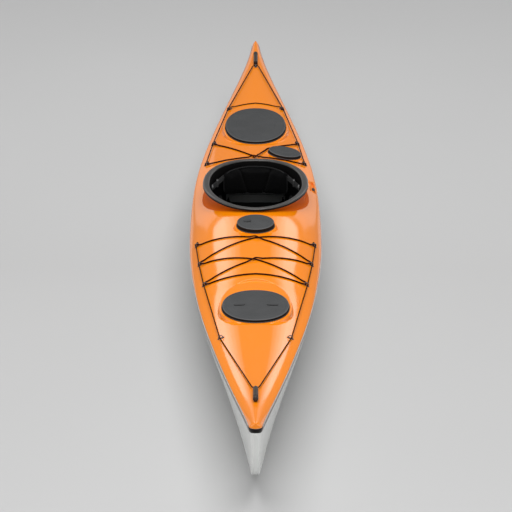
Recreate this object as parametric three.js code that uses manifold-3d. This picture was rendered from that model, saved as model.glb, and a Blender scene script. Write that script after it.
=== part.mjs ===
// Sea kayak in millimetres: +Z up, bow towards -Y, port on +X.
// The origin is on the floor plane, under the middle of the length, on the centre line.
import * as THREE from "three";
import { mergeVertices } from "three/addons/utils/BufferGeometryUtils.js";
import Module from "manifold-3d";

const wasm = await Module();
wasm.setup();

// Hull and deck
const LENGTH = 5000;
const BEAM = 555;
const SEAM_HEIGHT = 240;
const DECK_RISE = 110;
const LAMINATE = 4;
const KEEL_FLAT_WIDTH = 26;
const SEAM_GAP = 0.4;
const GAP = 0.3;
const OVERRUN = 60;

// Shares along the length run from 0 at the bow to 1 at the stern.
const PLAN_SHARES = [
  [0, 0.085], [0.02, 0.125], [0.05, 0.2], [0.1, 0.333], [0.15, 0.464], [0.2, 0.588],
  [0.25, 0.705], [0.3, 0.808], [0.35, 0.89], [0.4, 0.952], [0.45, 0.99], [0.5, 1],
  [0.55, 0.993], [0.6, 0.968], [0.65, 0.915], [0.7, 0.827], [0.75, 0.712], [0.8, 0.58],
  [0.85, 0.437], [0.9, 0.29], [0.95, 0.155], [0.98, 0.092], [1, 0.06],
];
const SEAM_SHARES = [
  [0, 1.48], [0.1, 1.295], [0.2, 1.158], [0.3, 1.063], [0.4, 1.013], [0.5, 1],
  [0.6, 1.008], [0.7, 1.042], [0.8, 1.108], [0.9, 1.208], [1, 1.342],
];
const KEEL_SHARES = [
  [0, 1.38], [0.004, 1.25], [0.012, 0.94], [0.025, 0.625], [0.045, 0.354], [0.07, 0.187],
  [0.11, 0.083], [0.17, 0.029], [0.25, 0.006], [0.32, 0], [0.5, 0], [0.68, 0],
  [0.76, 0.008], [0.84, 0.037], [0.9, 0.092], [0.935, 0.175], [0.96, 0.312],
  [0.98, 0.562], [0.99, 0.792], [0.997, 1.062], [1, 1.242],
];
const RISE_SHARES = [
  [0, 0.198], [0.06, 0.223], [0.12, 0.268], [0.19, 0.347], [0.24, 0.425], [0.28, 0.509],
  [0.31, 0.594], [0.34, 0.72], [0.38, 0.86], [0.43, 0.965], [0.48, 1.053], [0.56, 0.802],
  [0.64, 0.526], [0.7, 0.409], [0.8, 0.3], [0.9, 0.247], [1, 0.181],
];
const STATION_SHARES = [
  0.005, 0.013, 0.024, 0.04, 0.065, 0.105, 0.145, 0.19, 0.235, 0.275, 0.31, 0.34, 0.375,
  0.41, 0.445, 0.48, 0.52, 0.56, 0.6, 0.64, 0.685, 0.73, 0.775, 0.82, 0.865, 0.9, 0.935, 0.965,
  0.985,
];
const NOSE_TURNS = [14, 34, 56, 78];
const SECTION_STEPS = 6;

// Seam band and the end caps
const BAND_THICKNESS = 2;
const BAND_HEIGHT = 24;
const CAP_LENGTH = 36;

// Cockpit coaming
const COCKPIT_CENTRE_SHARE = 0.0578;
const COCKPIT_HALF_LENGTH = 366;
const COCKPIT_HALF_WIDTH = 197;
// Rises here are over the seam amidships.
const COAMING_FRONT_RISE = 132;
const COAMING_REAR_RISE = 98;
const COAMING_LIP_WIDTH = 28;
const COAMING_LIP_THICKNESS = 6;
const COAMING_LIP_DROP = 11;
const COAMING_WALL = 5;
const COAMING_UNDER_DECK = 14;
const COAMING_SEGMENTS = 36;
const COCKPIT_FRONT_POWER = 1.9;
const COCKPIT_REAR_POWER = 2.25;
const HOOK_LENGTH = 210;
const HOOK_REACH = 62;
const HOOK_THICKNESS = 6;

// Hatches: each has a level pad at a lift from the deck, a rim through it and a lid over the rim
const HATCH_SEGMENTS = 24;
const RIM_WALL = 4;
const RIM_UNDER_PAD = 16;
const RIM_FLANGE_OUT = 3;
const RIM_FLANGE_THICKNESS = 3;
const LID_WALL = 3.5;
const LID_TOP = 4.5;
const LID_CROWN = 3;
const LID_CLEARANCE = 0.5;
const LID_SKIRT_BASE = 4.5;
const PAD_DEPTH = 60;
const OVAL_POWER = 2.15;
const BOW_HATCH = {
  name: "bow_hatch", xShare: 0, yShare: -0.2272, lift: -0.4, halfWidth: 131, halfLength: 166,
  pitch: 0.6, roll: 0, power: OVAL_POWER, margin: 13, padAft: 119, rimHeight: 8,
};
const STERN_HATCH = {
  name: "stern_hatch", xShare: 0, yShare: 0.2538, lift: -0.1, halfWidth: 135, halfLength: 244,
  pitch: 0.5, roll: 0, power: OVAL_POWER, margin: 12, padAft: 0, rimHeight: 8,
};
const DAY_HATCH = {
  name: "day_hatch", xShare: 0.458, yShare: 0.1804, lift: -0.4, halfWidth: 72, halfLength: 72,
  pitch: 0, roll: 9, power: 2, margin: 7, padAft: 0, rimHeight: 10,
};
const DECK_HATCH = {
  name: "deck_hatch", xShare: 0, yShare: -0.0526, lift: 0.6, halfWidth: 77, halfLength: 77,
  pitch: 5, roll: 0, power: 2, margin: 12, padAft: 0, rimHeight: 14,
};
const POD_DEPTH = 118;
const POD_WALL = 3;
const POD_TAPER = 14;

// Bulkheads
const BULKHEAD_THICKNESS = 6;
const FRONT_BULKHEAD_SHARE = -0.128;
const REAR_BULKHEAD_SHARE = 0.1505;
const DAY_BULKHEAD_SHARE = 0.198;

// Skeg
const SKEG_PIVOT_SHARE = 0.328;
const SKEG_PIVOT_HEIGHT = 52;
const SKEG_LENGTH = 318;
const SKEG_NOSE_RADIUS = 24;
const SKEG_TIP_HEIGHT = 96;
const SKEG_THICKNESS = 7;
const SKEG_SWING = 58;
const SKEG_SLOT_CLEARANCE = 2.5;
const SKEG_END_CLEARANCE = 14;
const SKEG_BOX_WALL = 4;
const SKEG_BOX_HEIGHT = 184;
const SKEG_PIN_RADIUS = 3;
const SKEG_PIN_CLEARANCE = 0.45;
const PIN_HEAD_RADIUS = 6;
const PIN_HEAD_THICKNESS = 2.5;

// Skeg slider in the side deck
const SLIDER_X_SHARE = 0.889;
const SLIDER_Y_SHARE = 0.105;
const SLIDER_TRAVEL = 76;
const SLIDER_KNOB_LENGTH = 26;
const SLIDER_KNOB_WIDTH = 13;
const SLIDER_KNOB_HEIGHT = 13;
const SLIDER_STEM_WIDTH = 4;
const TRACK_WIDTH = 20;
const TRACK_MARGIN = 12;
const TRACK_DEPTH = 9;
const TRACK_LIP = 1.6;
const CABLE_TUBE_RADIUS = 3.5;

// Seat and back band
// Places fore and aft here are shares of the cockpit's half length, aft of its middle.
const SEAT_FRONT_SHARE = 0.112;
const SEAT_LENGTH = 345;
const SEAT_REAR_HALF_WIDTH = 132;
const SEAT_WALL = 4;
const SEAT_BASE_HEIGHT = 38;
const SEAT_SIDE_RISE = 250;
const SEAT_CLEARANCE = 1.8;
// Places along the seat, with shares of its width, of its base height and of its side rise.
const SEAT_SHARES = [
  [0, 0.88, 1.9, 0.06], [0.12, 0.96, 1.3, 0.4], [0.32, 1, 1, 2], [0.46, 1, 1, 2],
  [0.62, 1, 1, 2], [0.8, 1, 1.2, 0.56], [0.92, 0.97, 2.1, 0.3], [1, 0.9, 3.6, 0.1],
];
const HIP_PAD_PLACE_SHARE = 0.35;
const HIP_PAD_LENGTH = 152;
const HIP_PAD_HEIGHT = 96;
const HIP_PAD_THICKNESS = 22;
const HIP_PAD_HEIGHT_SHARE = 0.75;
const HIP_PAD_SHARES = [-1, -0.96, -0.82, -0.5, 0, 0.5, 0.82, 0.96, 1];
const BAND_PAD_WIDTH = 282;
const BAND_PAD_HEIGHT = 128;
const BAND_PAD_THICKNESS = 30;
const BAND_PAD_TOP_RISE = 88;
const BAND_PAD_Y_SHARE = 0.858;
const BAND_PAD_WRAP = 60;
const BAND_PAD_SHARES = [
  -1, -0.985, -0.94, -0.84, -0.7, -0.56, -0.47, -0.41, -0.36, -0.31, -0.25, -0.13, 0,
  0.13, 0.25, 0.31, 0.36, 0.41, 0.47, 0.56, 0.7, 0.84, 0.94, 0.985, 1,
];
const BAND_CHANNEL_SHARE = 0.36;
const BAND_CHANNEL_LEAN = 0.3;
const BAND_CHANNEL_DEPTH = 8;
const BAND_CHANNEL_WIDTH = 9;
const PAD_SECTION_SIDES = 12;
const STRAP_HEIGHT = 25;
const STRAP_THICKNESS = 3;
const STRAP_BOLT_Y_SHARE = 0.317;
const STRAP_BOLT_RISE = 56;
const STRAP_DISC_RADIUS = 13;
const STRAP_DISC_THICKNESS = 5;
const STRAP_CLEARANCE = 1.2;
const STRAP_SEAT_SHARE = 1;

// Footrests
const RAIL_LENGTH = 390;
const RAIL_HEIGHT = 26;
const RAIL_CENTRE_SHARE = -0.078;
const RAIL_HEIGHT_SHARE = 0.625;
const RAIL_FACE_X = 216;
const RAIL_CHANNEL_DEPTH = 7;
const RAIL_CHANNEL_HEIGHT = 11;
const RAIL_CHANNEL_MARGIN = 9;
const PEDAL_CLEARANCE = 0.6;
const PEDAL_HUB_WIDTH = 18;
const PEDAL_HUB_LENGTH = 44;
const PEDAL_HUB_HEIGHT = 34;
const PEDAL_PLATE_WIDTH = 66;
const PEDAL_PLATE_HEIGHT = 104;
const PEDAL_PLATE_IN = 11;
const PEDAL_PLATE_UP = 10;
const PEDAL_PLATE_THICKNESS = 9;

// Deck fittings, cords and toggles
const FITTING_HALF_BASE = 14;
const FITTING_HALF_ARCH = 10;
const FITTING_HEIGHT = 12.6;
const FITTING_SHOULDER = 9;
const FITTING_BASE_THICKNESS = 2.4;
const FITTING_LENGTH = 9;
const FITTING_HOLE_HALF = 7.2;
const FITTING_HOLE_BASE = 3;
const FITTING_HOLE_TOP = 10;
const FITTING_CORNER = 2;
const FITTING_STEP = 1.2;
const FITTINGS = {
  fore_rear: { xShare: 0.861, yShare: -0.06 },
  fore_middle: { xShare: 0.807, yShare: -0.1076 },
  fore_front: { xShare: 0.728, yShare: -0.1576 },
  bow_side: { xShare: 0.479, yShare: -0.285 },
  aft_front: { xShare: 0.766, yShare: 0.1624 },
  aft_middle: { xShare: 0.667, yShare: 0.2184 },
  aft_rear: { xShare: 0.432, yShare: 0.315 },
};
const BOW_FITTING_SHARE = -0.4168;
const STERN_FITTING_SHARE = 0.4256;
const BUNGEE_RADIUS = 3;
const LINE_RADIUS = 2.2;
const CORD_CLEARANCE = 1.1;
const CORD_SIDES = 8;
const CROSSING_LIFT = 6.9;
const BUNGEE_STEP = 70;
const LINE_STEP = 200;
const LANE_HEIGHT = 6.5;
const BUNGEE_LANE = -3.1;
const LINE_LANE = 3.8;
const CORD_RUN = 5.5;
const CORD_TURN = 13;
const CORD_TURN_IN = 4;
const KNOT_PLACE = 11;
const KNOT_SHIFT = 1.6;
const KNOT_RADIUS = 5;
const LINE_KNOT_RADIUS = 4;
const TAIL_PLACE = 18;
const TOGGLE_RADIUS = 10;
const TOGGLE_LENGTH = 140;
const TOGGLE_STANDOFF = 18;
const TOGGLE_LIFT = 2.4;
const TOGGLE_ROUNDING = 3.5;
const TOGGLE_SEGMENTS = 12;
const TOGGLE_LOOP_RADIUS = 2;
// Places along half of a toggle's loop: shares of the standoff outwards, across and up.
const LOOP_SHARES = [
  [0, 0.18, 0], [0.03, 0.31, 0], [0.2, 0.42, 0.04], [0.5, 0.44, 0.12], [0.95, 0.4, 0.26],
  [1.5, 0.28, 0.32],
];
// Places along half of the deck line's turn at an end: shares of the turn length.
const TURN_SHARES = [[0, 0.36], [-0.08, 0.74], [-0.42, 1.02], [-1.05, 1.15]];

// Colours, roughness and metalness
const FINISHES = {
  orange: { color: 0xf5831f, roughness: 0.12, metalness: 0 },
  pale: { color: 0xc9cbc8, roughness: 0.2, metalness: 0 },
  band: { color: 0x3c3a39, roughness: 0.35, metalness: 0 },
  black: { color: 0x18191b, roughness: 0.45, metalness: 0 },
  rubber: { color: 0x46484a, roughness: 0.7, metalness: 0 },
  foam: { color: 0x222224, roughness: 0.9, metalness: 0 },
  cord: { color: 0x2a0d08, roughness: 0.8, metalness: 0 },
  board: { color: 0x8d9092, roughness: 0.6, metalness: 0 },
  steel: { color: 0xb9bcc0, roughness: 0.3, metalness: 1 },
};

const radians = (degrees) => THREE.MathUtils.degToRad(degrees);

// The steady curve through a table of [share, value] pairs, without overshoot.
function along(table, share) {
  const last = table.length - 1;
  const at = Math.min(Math.max(share, table[0][0]), table[last][0]);
  let i = 0;
  while (i < last - 1 && table[i + 1][0] <= at) i += 1;
  const rise = (j) => (table[j + 1][1] - table[j][1]) / (table[j + 1][0] - table[j][0]);
  const slope = (j) => {
    if (j === 0) return rise(0);
    if (j === last) return rise(last - 1);
    const before = rise(j - 1);
    const after = rise(j);
    if (before * after <= 0) return 0;
    const back = table[j][0] - table[j - 1][0];
    const ahead = table[j + 1][0] - table[j][0];
    const first = 2 * ahead + back;
    const second = ahead + 2 * back;
    return (first + second) / (first / before + second / after);
  };
  const step = table[i + 1][0] - table[i][0];
  const t = (at - table[i][0]) / step;
  const start = table[i][1] * (1 + 2 * t) * (1 - t) ** 2 + slope(i) * step * t * (1 - t) ** 2;
  return start + table[i + 1][1] * t * t * (3 - 2 * t) - slope(i + 1) * step * t * t * (1 - t);
}

// The lines of the boat
const shareAt = (y) => y / LENGTH + 0.5;
const seamZ = (y) => along(SEAM_SHARES, shareAt(y)) * SEAM_HEIGHT;
const keelZ = (y) => along(KEEL_SHARES, shareAt(y)) * SEAM_HEIGHT;
const ridgeZ = (y) => seamZ(y) + along(RISE_SHARES, shareAt(y)) * DECK_RISE;
const fullness = (y) => Math.sin(Math.PI * THREE.MathUtils.clamp(shareAt(y), 0, 1)) ** 0.8;

const BAND_PROUD = BAND_THICKNESS + GAP;

function noseRadius(y) {
  const end = y < 0 ? PLAN_SHARES[0] : PLAN_SHARES[PLAN_SHARES.length - 1];
  return (end[1] * BEAM) / 2;
}

// Half the breadth over the seam band, rounded off at the two ends.
function halfBreadth(y) {
  const radius = noseRadius(y);
  const fromEnd = LENGTH / 2 - Math.abs(y);
  const breadth = (along(PLAN_SHARES, shareAt(y)) * BEAM) / 2;
  if (fromEnd >= radius) return breadth;
  return breadth * Math.sqrt(Math.max(0, 1 - ((radius - fromEnd) / radius) ** 2));
}

const slopeOf = (line, y) => (line(y + LAMINATE) - line(y - LAMINATE)) / (2 * LAMINATE);
const thicknessAlong = (line, y, wall) => wall * Math.hypot(1, slopeOf(line, y));

function bezier(points, t) {
  const s = 1 - t;
  const weights = [s ** 3, 3 * s * s * t, 3 * s * t * t, t ** 3];
  const sum = (k) => points.reduce((total, p, i) => total + weights[i] * p[k], 0);
  return [sum(0), sum(1)];
}

// Control points of the hull's half section, from the keel flat up to the seam.
function hullControls(y, inset) {
  const full = fullness(y);
  const low = keelZ(y) + thicknessAlong(keelZ, y, inset);
  const high = seamZ(y);
  const depth = high - low;
  const half = Math.max(halfBreadth(y) - BAND_PROUD - inset, GAP);
  const flat = Math.min(KEEL_FLAT_WIDTH / 2, half / 3);
  const wide = half - flat;
  return [
    [flat, low],
    [flat + wide * (0.12 + 0.5 * full), low + depth * 0.02 * full],
    [flat + wide * (0.48 + 0.49 * full), low + depth * (0.62 - 0.3 * full)],
    [half, high],
  ];
}

// Control points of the deck's half section, from the seam up to the ridge.
function deckControls(y, inset) {
  const low = seamZ(y);
  const high = ridgeZ(y) - thicknessAlong(ridgeZ, y, inset);
  const rise = high - low;
  const half = Math.max(halfBreadth(y) - BAND_PROUD - inset, GAP);
  return [[half, low], [half * 0.97, low + rise * 0.24], [half * 0.6, low + rise * 0.98], [0, high]];
}

// The height of the deck's outer face at a place in plan.
function deckZ(x, y) {
  const controls = deckControls(y, 0);
  const reach = Math.min(Math.abs(x), controls[0][0]);
  let low = 0;
  let high = 1;
  for (let i = 0; i < 30; i += 1) {
    const middle = (low + high) / 2;
    if (bezier(controls, middle)[0] > reach) low = middle;
    else high = middle;
  }
  return bezier(controls, low)[1];
}

// Half the breadth of the hull's face at a height.
function hullX(y, z, inset) {
  const controls = hullControls(y, inset);
  let low = 0;
  let high = 1;
  for (let i = 0; i < 30; i += 1) {
    const middle = (low + high) / 2;
    if (bezier(controls, middle)[1] < z) low = middle;
    else high = middle;
  }
  return bezier(controls, low)[0];
}

// Solids and meshes
function solidOf(geometry) {
  const plain = geometry.clone();
  plain.deleteAttribute("normal");
  plain.deleteAttribute("uv");
  const merged = mergeVertices(plain, 1e-4);
  const triVerts = new Uint32Array(merged.index.array);
  const vertProperties = merged.attributes.position.array;
  return new wasm.Manifold(new wasm.Mesh({ numProp: 3, vertProperties, triVerts }));
}

function meshOf(name, solid, finish) {
  const data = solid.getMesh();
  const geometry = new THREE.BufferGeometry();
  geometry.setAttribute("position", new THREE.BufferAttribute(data.vertProperties, 3));
  geometry.setIndex(new THREE.BufferAttribute(data.triVerts, 1));
  geometry.computeVertexNormals();
  const mesh = new THREE.Mesh(geometry, new THREE.MeshStandardMaterial(FINISHES[finish]));
  mesh.name = name;
  return mesh;
}

function moved(solid, matrix) {
  return solid.transform(matrix.elements);
}

// A closed solid from points and faces, turned so that its faces point out.
function outward(positions, faces) {
  const at = (i) => new THREE.Vector3().fromArray(positions, 3 * i);
  let volume = 0;
  for (let i = 0; i < faces.length; i += 3) {
    volume += at(faces[i]).dot(at(faces[i + 1]).cross(at(faces[i + 2])));
  }
  const turned = volume < 0 ? faces.toReversed() : faces;
  const geometry = new THREE.BufferGeometry();
  geometry.setAttribute("position", new THREE.Float32BufferAttribute(positions, 3));
  geometry.setIndex(turned);
  return solidOf(geometry);
}

// A closed skin through rings of points that all have the same count.
// With loop true the last ring meets the first, and otherwise both ends are capped.
function loft(rings, loop = false) {
  const count = rings[0].length;
  const positions = rings.flat(2);
  const faces = [];
  const bands = loop ? rings.length : rings.length - 1;
  for (let i = 0; i < bands; i += 1) {
    const here = i * count;
    const next = ((i + 1) % rings.length) * count;
    for (let j = 0; j < count; j += 1) {
      const k = (j + 1) % count;
      faces.push(here + j, here + k, next + k, here + j, next + k, next + j);
    }
  }
  const cap = (ring, base, turn) => {
    const middle = positions.length / 3;
    positions.push(...[0, 1, 2].map((axis) => ring.reduce((sum, p) => sum + p[axis], 0) / count));
    for (let j = 0; j < count; j += 1) {
      const k = (j + 1) % count;
      faces.push(middle, base + (turn ? k : j), base + (turn ? j : k));
    }
  };
  if (!loop) {
    cap(rings[0], 0, true);
    cap(rings[rings.length - 1], (rings.length - 1) * count, false);
  }
  return outward(positions, faces);
}

function boxSolid(from, to) {
  const size = to.map((value, axis) => value - from[axis]);
  const middle = to.map((value, axis) => (value + from[axis]) / 2);
  return solidOf(new THREE.BoxGeometry(...size).translate(...middle));
}

// A flat outline of [x, y] points, extruded by a depth that is centred on its plane.
function plateSolid(outline, depth, holes = []) {
  const shape = new THREE.Shape(outline.map((p) => new THREE.Vector2(...p)));
  shape.holes = holes.map((hole) => new THREE.Path(hole.map((p) => new THREE.Vector2(...p))));
  const geometry = new THREE.ExtrudeGeometry(shape, { depth, bevelEnabled: false });
  return solidOf(geometry.translate(0, 0, -depth / 2));
}

// A path that puts one ring of a swept tube at each of its points.
class Route extends THREE.Curve {
  constructor(points) {
    super();
    this.points = points;
  }

  getUtoTmapping(u) {
    return u;
  }

  getPoint(t, target = new THREE.Vector3()) {
    const last = this.points.length - 1;
    const at = THREE.MathUtils.clamp(t, 0, 1) * last;
    const i = Math.min(Math.floor(at), last - 1);
    return target.lerpVectors(this.points[i], this.points[i + 1], at - i);
  }
}

function circle(radius, sides) {
  const turn = (2 * Math.PI) / sides;
  return Array.from({ length: sides }, (_, i) => [radius * Math.cos(i * turn), radius * Math.sin(i * turn)]);
}

function tubeSolid(points, radius, sides = CORD_SIDES) {
  const shape = new THREE.Shape(circle(radius, sides).map((p) => new THREE.Vector2(...p)));
  const steps = points.length - 1;
  return solidOf(new THREE.ExtrudeGeometry(shape, { steps, extrudePath: new Route(points) }));
}

// Hull and deck skins
function noseStations(end) {
  const radius = noseRadius(end);
  const places = NOSE_TURNS.map((turn) => LENGTH / 2 - radius * (1 - Math.cos(radians(turn))));
  return places.map((place, i) => ({ y: end * (i === 0 ? LENGTH / 2 : place), shape: end * place }));
}

const middleStations = STATION_SHARES.map((share) => ({
  y: (share - 0.5) * LENGTH,
  shape: (share - 0.5) * LENGTH,
}));
const stations = [...noseStations(-1), ...middleStations, ...noseStations(1).toReversed()];

function halfSection(controls) {
  return Array.from({ length: SECTION_STEPS + 1 }, (_, i) => bezier(controls, i / SECTION_STEPS));
}

// Both halves of a section as one ring; the half runs from the centre line to the edge.
function ringOf(half, y) {
  const port = half.toReversed().map(([x, z]) => [x, y, z]);
  const starboard = half.filter(([x]) => x > 0).map(([x, z]) => [-x, y, z]);
  return [...port, ...starboard];
}

function hullSkin(inset) {
  const ring = ({ y, shape }) => {
    const half = halfSection(hullControls(shape, inset));
    const edge = half[SECTION_STEPS];
    if (inset > 0) half.push([edge[0], edge[1] + OVERRUN]);
    else edge[1] -= SEAM_GAP / 2;
    return ringOf(half, y);
  };
  return loft((inset > 0 ? middleStations : stations).map(ring));
}

function deckSkin(inset) {
  const ring = ({ y, shape }) => {
    const half = halfSection(deckControls(shape, inset)).toReversed();
    const edge = half[SECTION_STEPS];
    if (inset > 0) half.push([edge[0], edge[1] - OVERRUN]);
    else edge[1] += SEAM_GAP / 2;
    return ringOf(half, y);
  };
  return loft((inset > 0 ? middleStations : stations).map(ring));
}

// The room inside the laminate, less a clearance.
function innerRoom(clearance) {
  return hullSkin(LAMINATE + clearance).intersect(belowDeck(clearance));
}

function belowDeck(clearance) {
  const inset = LAMINATE + clearance;
  const ring = ({ y, shape }) => {
    const half = halfSection(deckControls(shape, inset)).toReversed();
    half.push([half[SECTION_STEPS][0], -OVERRUN]);
    return ringOf(half, y);
  };
  return loft(middleStations.map(ring));
}

function capRegion(end, clearance) {
  const stem = end < 0 ? KEEL_SHARES[0][1] : KEEL_SHARES[KEEL_SHARES.length - 1][1];
  const low = stem * SEAM_HEIGHT - clearance;
  const inner = LENGTH / 2 - CAP_LENGTH - clearance;
  const outer = LENGTH / 2 + OVERRUN;
  const ys = [end * inner, end * outer].sort((a, b) => a - b);
  return boxSolid([-BEAM, ys[0], low], [BEAM, ys[1], low + BEAM]);
}

// Ovals in plan
function oval(angle, halfWidth, halfLength, power, aft = halfLength) {
  const c = Math.cos(angle);
  const s = Math.sin(angle);
  const reach = s > 0 ? aft : halfLength;
  const bend = (value) => Math.sign(value) * Math.abs(value) ** (2 / power);
  return [halfWidth * bend(c), reach * bend(s)];
}

function angles(count) {
  return Array.from({ length: count }, (_, i) => (2 * Math.PI * i) / count);
}

function hatchMatrix(hatch) {
  const x = (hatch.xShare * BEAM) / 2;
  const y = hatch.yShare * LENGTH;
  const place = new THREE.Matrix4().makeTranslation(x, y, deckZ(x, y) + hatch.lift);
  place.multiply(new THREE.Matrix4().makeRotationX(radians(hatch.pitch)));
  return place.multiply(new THREE.Matrix4().makeRotationY(radians(hatch.roll)));
}

// Rings of a hatch's oval at [offset, height] steps, in the hatch's own frame.
function ovalRings(hatch, steps, aft = 0) {
  return steps.map(([offset, z]) =>
    angles(HATCH_SEGMENTS).map((angle) => {
      const length = hatch.halfLength + offset;
      return [...oval(angle, hatch.halfWidth + offset, length, hatch.power, length + aft), z];
    }),
  );
}

function ovalPrism(hatch, offset, low, high, aft = 0) {
  return moved(loft(ovalRings(hatch, [[offset, low], [offset, high]], aft)), hatchMatrix(hatch));
}

const HATCHES = [BOW_HATCH, STERN_HATCH, DAY_HATCH, DECK_HATCH];
const rimOuter = -LID_WALL - LID_CLEARANCE;

function deckShell() {
  let outer = deckSkin(0);
  let inner = deckSkin(LAMINATE);
  for (const hatch of HATCHES) {
    const edge = hatch.margin;
    const aft = hatch.padAft;
    outer = outer.subtract(ovalPrism(hatch, edge, 0, OVERRUN, aft));
    outer = outer.add(ovalPrism(hatch, edge, -PAD_DEPTH / 2, 0, aft));
    inner = inner.subtract(ovalPrism(hatch, edge + LAMINATE, -LAMINATE, OVERRUN, aft));
    inner = inner.add(ovalPrism(hatch, edge - LAMINATE, -PAD_DEPTH, -LAMINATE, aft));
  }
  let shell = outer.subtract(inner);
  for (const hatch of HATCHES) {
    shell = shell.subtract(ovalPrism(hatch, rimOuter + GAP, -OVERRUN, OVERRUN));
  }
  shell = shell.subtract(cockpitPrism(COAMING_WALL + GAP));
  return shell.subtract(moved(trackBlock(GAP, -OVERRUN), sliderFrame));
}

function hullShell() {
  const shell = hullSkin(0).subtract(hullSkin(LAMINATE));
  const capped = shell.subtract(capRegion(-1, GAP)).subtract(capRegion(1, GAP));
  const half = SKEG_THICKNESS / 2 + SKEG_SLOT_CLEARANCE;
  const slot = boxSolid([-half, skegFront, -OVERRUN], [half, skegBack, SKEG_PIVOT_HEIGHT]);
  return capped.subtract(slot);
}

function endCap(end) {
  const ring = ({ y, shape }) => {
    const half = halfSection(hullControls(shape, -BAND_PROUD));
    half[SECTION_STEPS][1] -= SEAM_GAP / 2;
    return ringOf(half, y);
  };
  const part = stations.filter(({ y }) => y * end > LENGTH / 2 - 3 * CAP_LENGTH);
  return loft(part.map(ring)).intersect(capRegion(end, 0));
}

// The band outside the seam, from one end cap to the other.
function seamBand(side) {
  const end = LENGTH / 2 - CAP_LENGTH - GAP;
  const places = [-end, ...middleStations.map(({ y }) => y).filter((y) => Math.abs(y) < end), end];
  const rings = places.map((y) => {
    const high = seamZ(y);
    const gap = GAP * (1 + 3 * (1 - fullness(y)));
    const steps = [high - BAND_HEIGHT, high - BAND_HEIGHT / 2, high - SEAM_GAP / 2];
    const inner = steps.map((z) => [side * (hullX(y, z, 0) + gap), y, z]);
    const outer = steps.map((z) => [side * (hullX(y, z, 0) + BAND_PROUD), y, z]);
    return [...inner, ...outer.toReversed()];
  });
  return loft(rings);
}

// Cockpit coaming
const cockpitY = COCKPIT_CENTRE_SHARE * LENGTH;

function cockpitPoint(angle, offset) {
  const power = Math.sin(angle) > 0 ? COCKPIT_REAR_POWER : COCKPIT_FRONT_POWER;
  const [x, y] = oval(angle, COCKPIT_HALF_WIDTH + offset, COCKPIT_HALF_LENGTH + offset, power);
  return [x, cockpitY + y];
}

function cockpitX(y) {
  const power = y > cockpitY ? COCKPIT_REAR_POWER : COCKPIT_FRONT_POWER;
  const reach = Math.min(Math.abs(y - cockpitY) / COCKPIT_HALF_LENGTH, 1);
  return COCKPIT_HALF_WIDTH * (1 - reach ** power) ** (1 / power);
}

function coamingZ(y) {
  const half = COCKPIT_HALF_LENGTH + COAMING_LIP_WIDTH;
  const share = (y - cockpitY + half) / (2 * half);
  return SEAM_HEIGHT + THREE.MathUtils.lerp(COAMING_FRONT_RISE, COAMING_REAR_RISE, share);
}

function cockpitPrism(offset) {
  const ring = (z) => angles(COAMING_SEGMENTS).map((angle) => [...cockpitPoint(angle, offset), z]);
  return loft([ring(SEAM_HEIGHT / 2), ring(SEAM_HEIGHT + BEAM)]);
}

const coamingFootZ = (x, y) => deckZ(x, y) - COAMING_UNDER_DECK;

function coaming() {
  const under = -COAMING_LIP_THICKNESS;
  const inner = COAMING_LIP_WIDTH - COAMING_LIP_THICKNESS / 2;
  const rings = angles(COAMING_SEGMENTS).map((angle) => {
    const at = (offset, drop) => {
      const [x, y] = cockpitPoint(angle, offset);
      return [x, y, coamingZ(y) + drop];
    };
    const foot = (offset) => {
      const [x, y] = cockpitPoint(angle, offset);
      return [x, y, coamingFootZ(x, y)];
    };
    return [
      foot(0), at(0, under / 2), at(-under / 2, 0), at(inner, 0), at(COAMING_LIP_WIDTH, under / 2),
      at(COAMING_LIP_WIDTH, -COAMING_LIP_DROP), at(inner, -COAMING_LIP_DROP), at(inner, under),
      at(COAMING_WALL, under), foot(COAMING_WALL),
    ];
  });
  return loft(rings, true).add(thighHook(1)).add(thighHook(-1));
}

// A hook for the thigh, growing inwards from the foot of the coaming wall.
function thighHook(side) {
  const start = cockpitY - COCKPIT_HALF_LENGTH * 0.84;
  const steps = [0, 0.12, 0.3, 0.5, 0.7, 0.88, 1];
  const rings = steps.map((t) => {
    const y = start + HOOK_LENGTH * t;
    const root = cockpitX(y) + COAMING_WALL / 2;
    const low = coamingFootZ(root, y) + 1.5 * GAP;
    const reach = HOOK_REACH * Math.sin(Math.PI * (0.08 + 0.84 * t)) ** 0.8;
    const tip = root - reach;
    const drop = reach / 6;
    const high = low + HOOK_THICKNESS;
    return [
      [side * root, y, low], [side * root, y, high],
      [side * tip, y, high - drop], [side * tip, y, low - drop],
    ];
  });
  return loft(rings);
}

// Hatch rims and lids
function hatchRim(hatch) {
  const sleeve = rimOuter;
  const inner = rimOuter - RIM_WALL;
  const flangeTop = GAP + RIM_FLANGE_THICKNESS;
  const profile = [
    [inner, -RIM_UNDER_PAD], [inner, hatch.rimHeight], [sleeve, hatch.rimHeight], [sleeve, flangeTop],
    [RIM_FLANGE_OUT, flangeTop], [RIM_FLANGE_OUT, GAP], [sleeve, GAP], [sleeve, -RIM_UNDER_PAD],
  ];
  const rings = angles(HATCH_SEGMENTS).map((angle) =>
    profile.map(([offset, z]) => [
      ...oval(angle, hatch.halfWidth + offset, hatch.halfLength + offset, hatch.power),
      z,
    ]),
  );
  return moved(loft(rings, true), hatchMatrix(hatch));
}

function hatchLid(hatch) {
  const under = hatch.rimHeight + GAP;
  const face = under + LID_TOP;
  const outer = loft(ovalRings(hatch, [
    [0, LID_SKIRT_BASE], [0, face - LID_WALL], [-LID_WALL, face], [-hatch.halfWidth / 2, face + LID_CROWN],
  ]));
  const inner = loft(ovalRings(hatch, [[-LID_WALL, -OVERRUN], [-LID_WALL, under]]));
  return moved(outer.subtract(inner), hatchMatrix(hatch));
}

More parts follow.
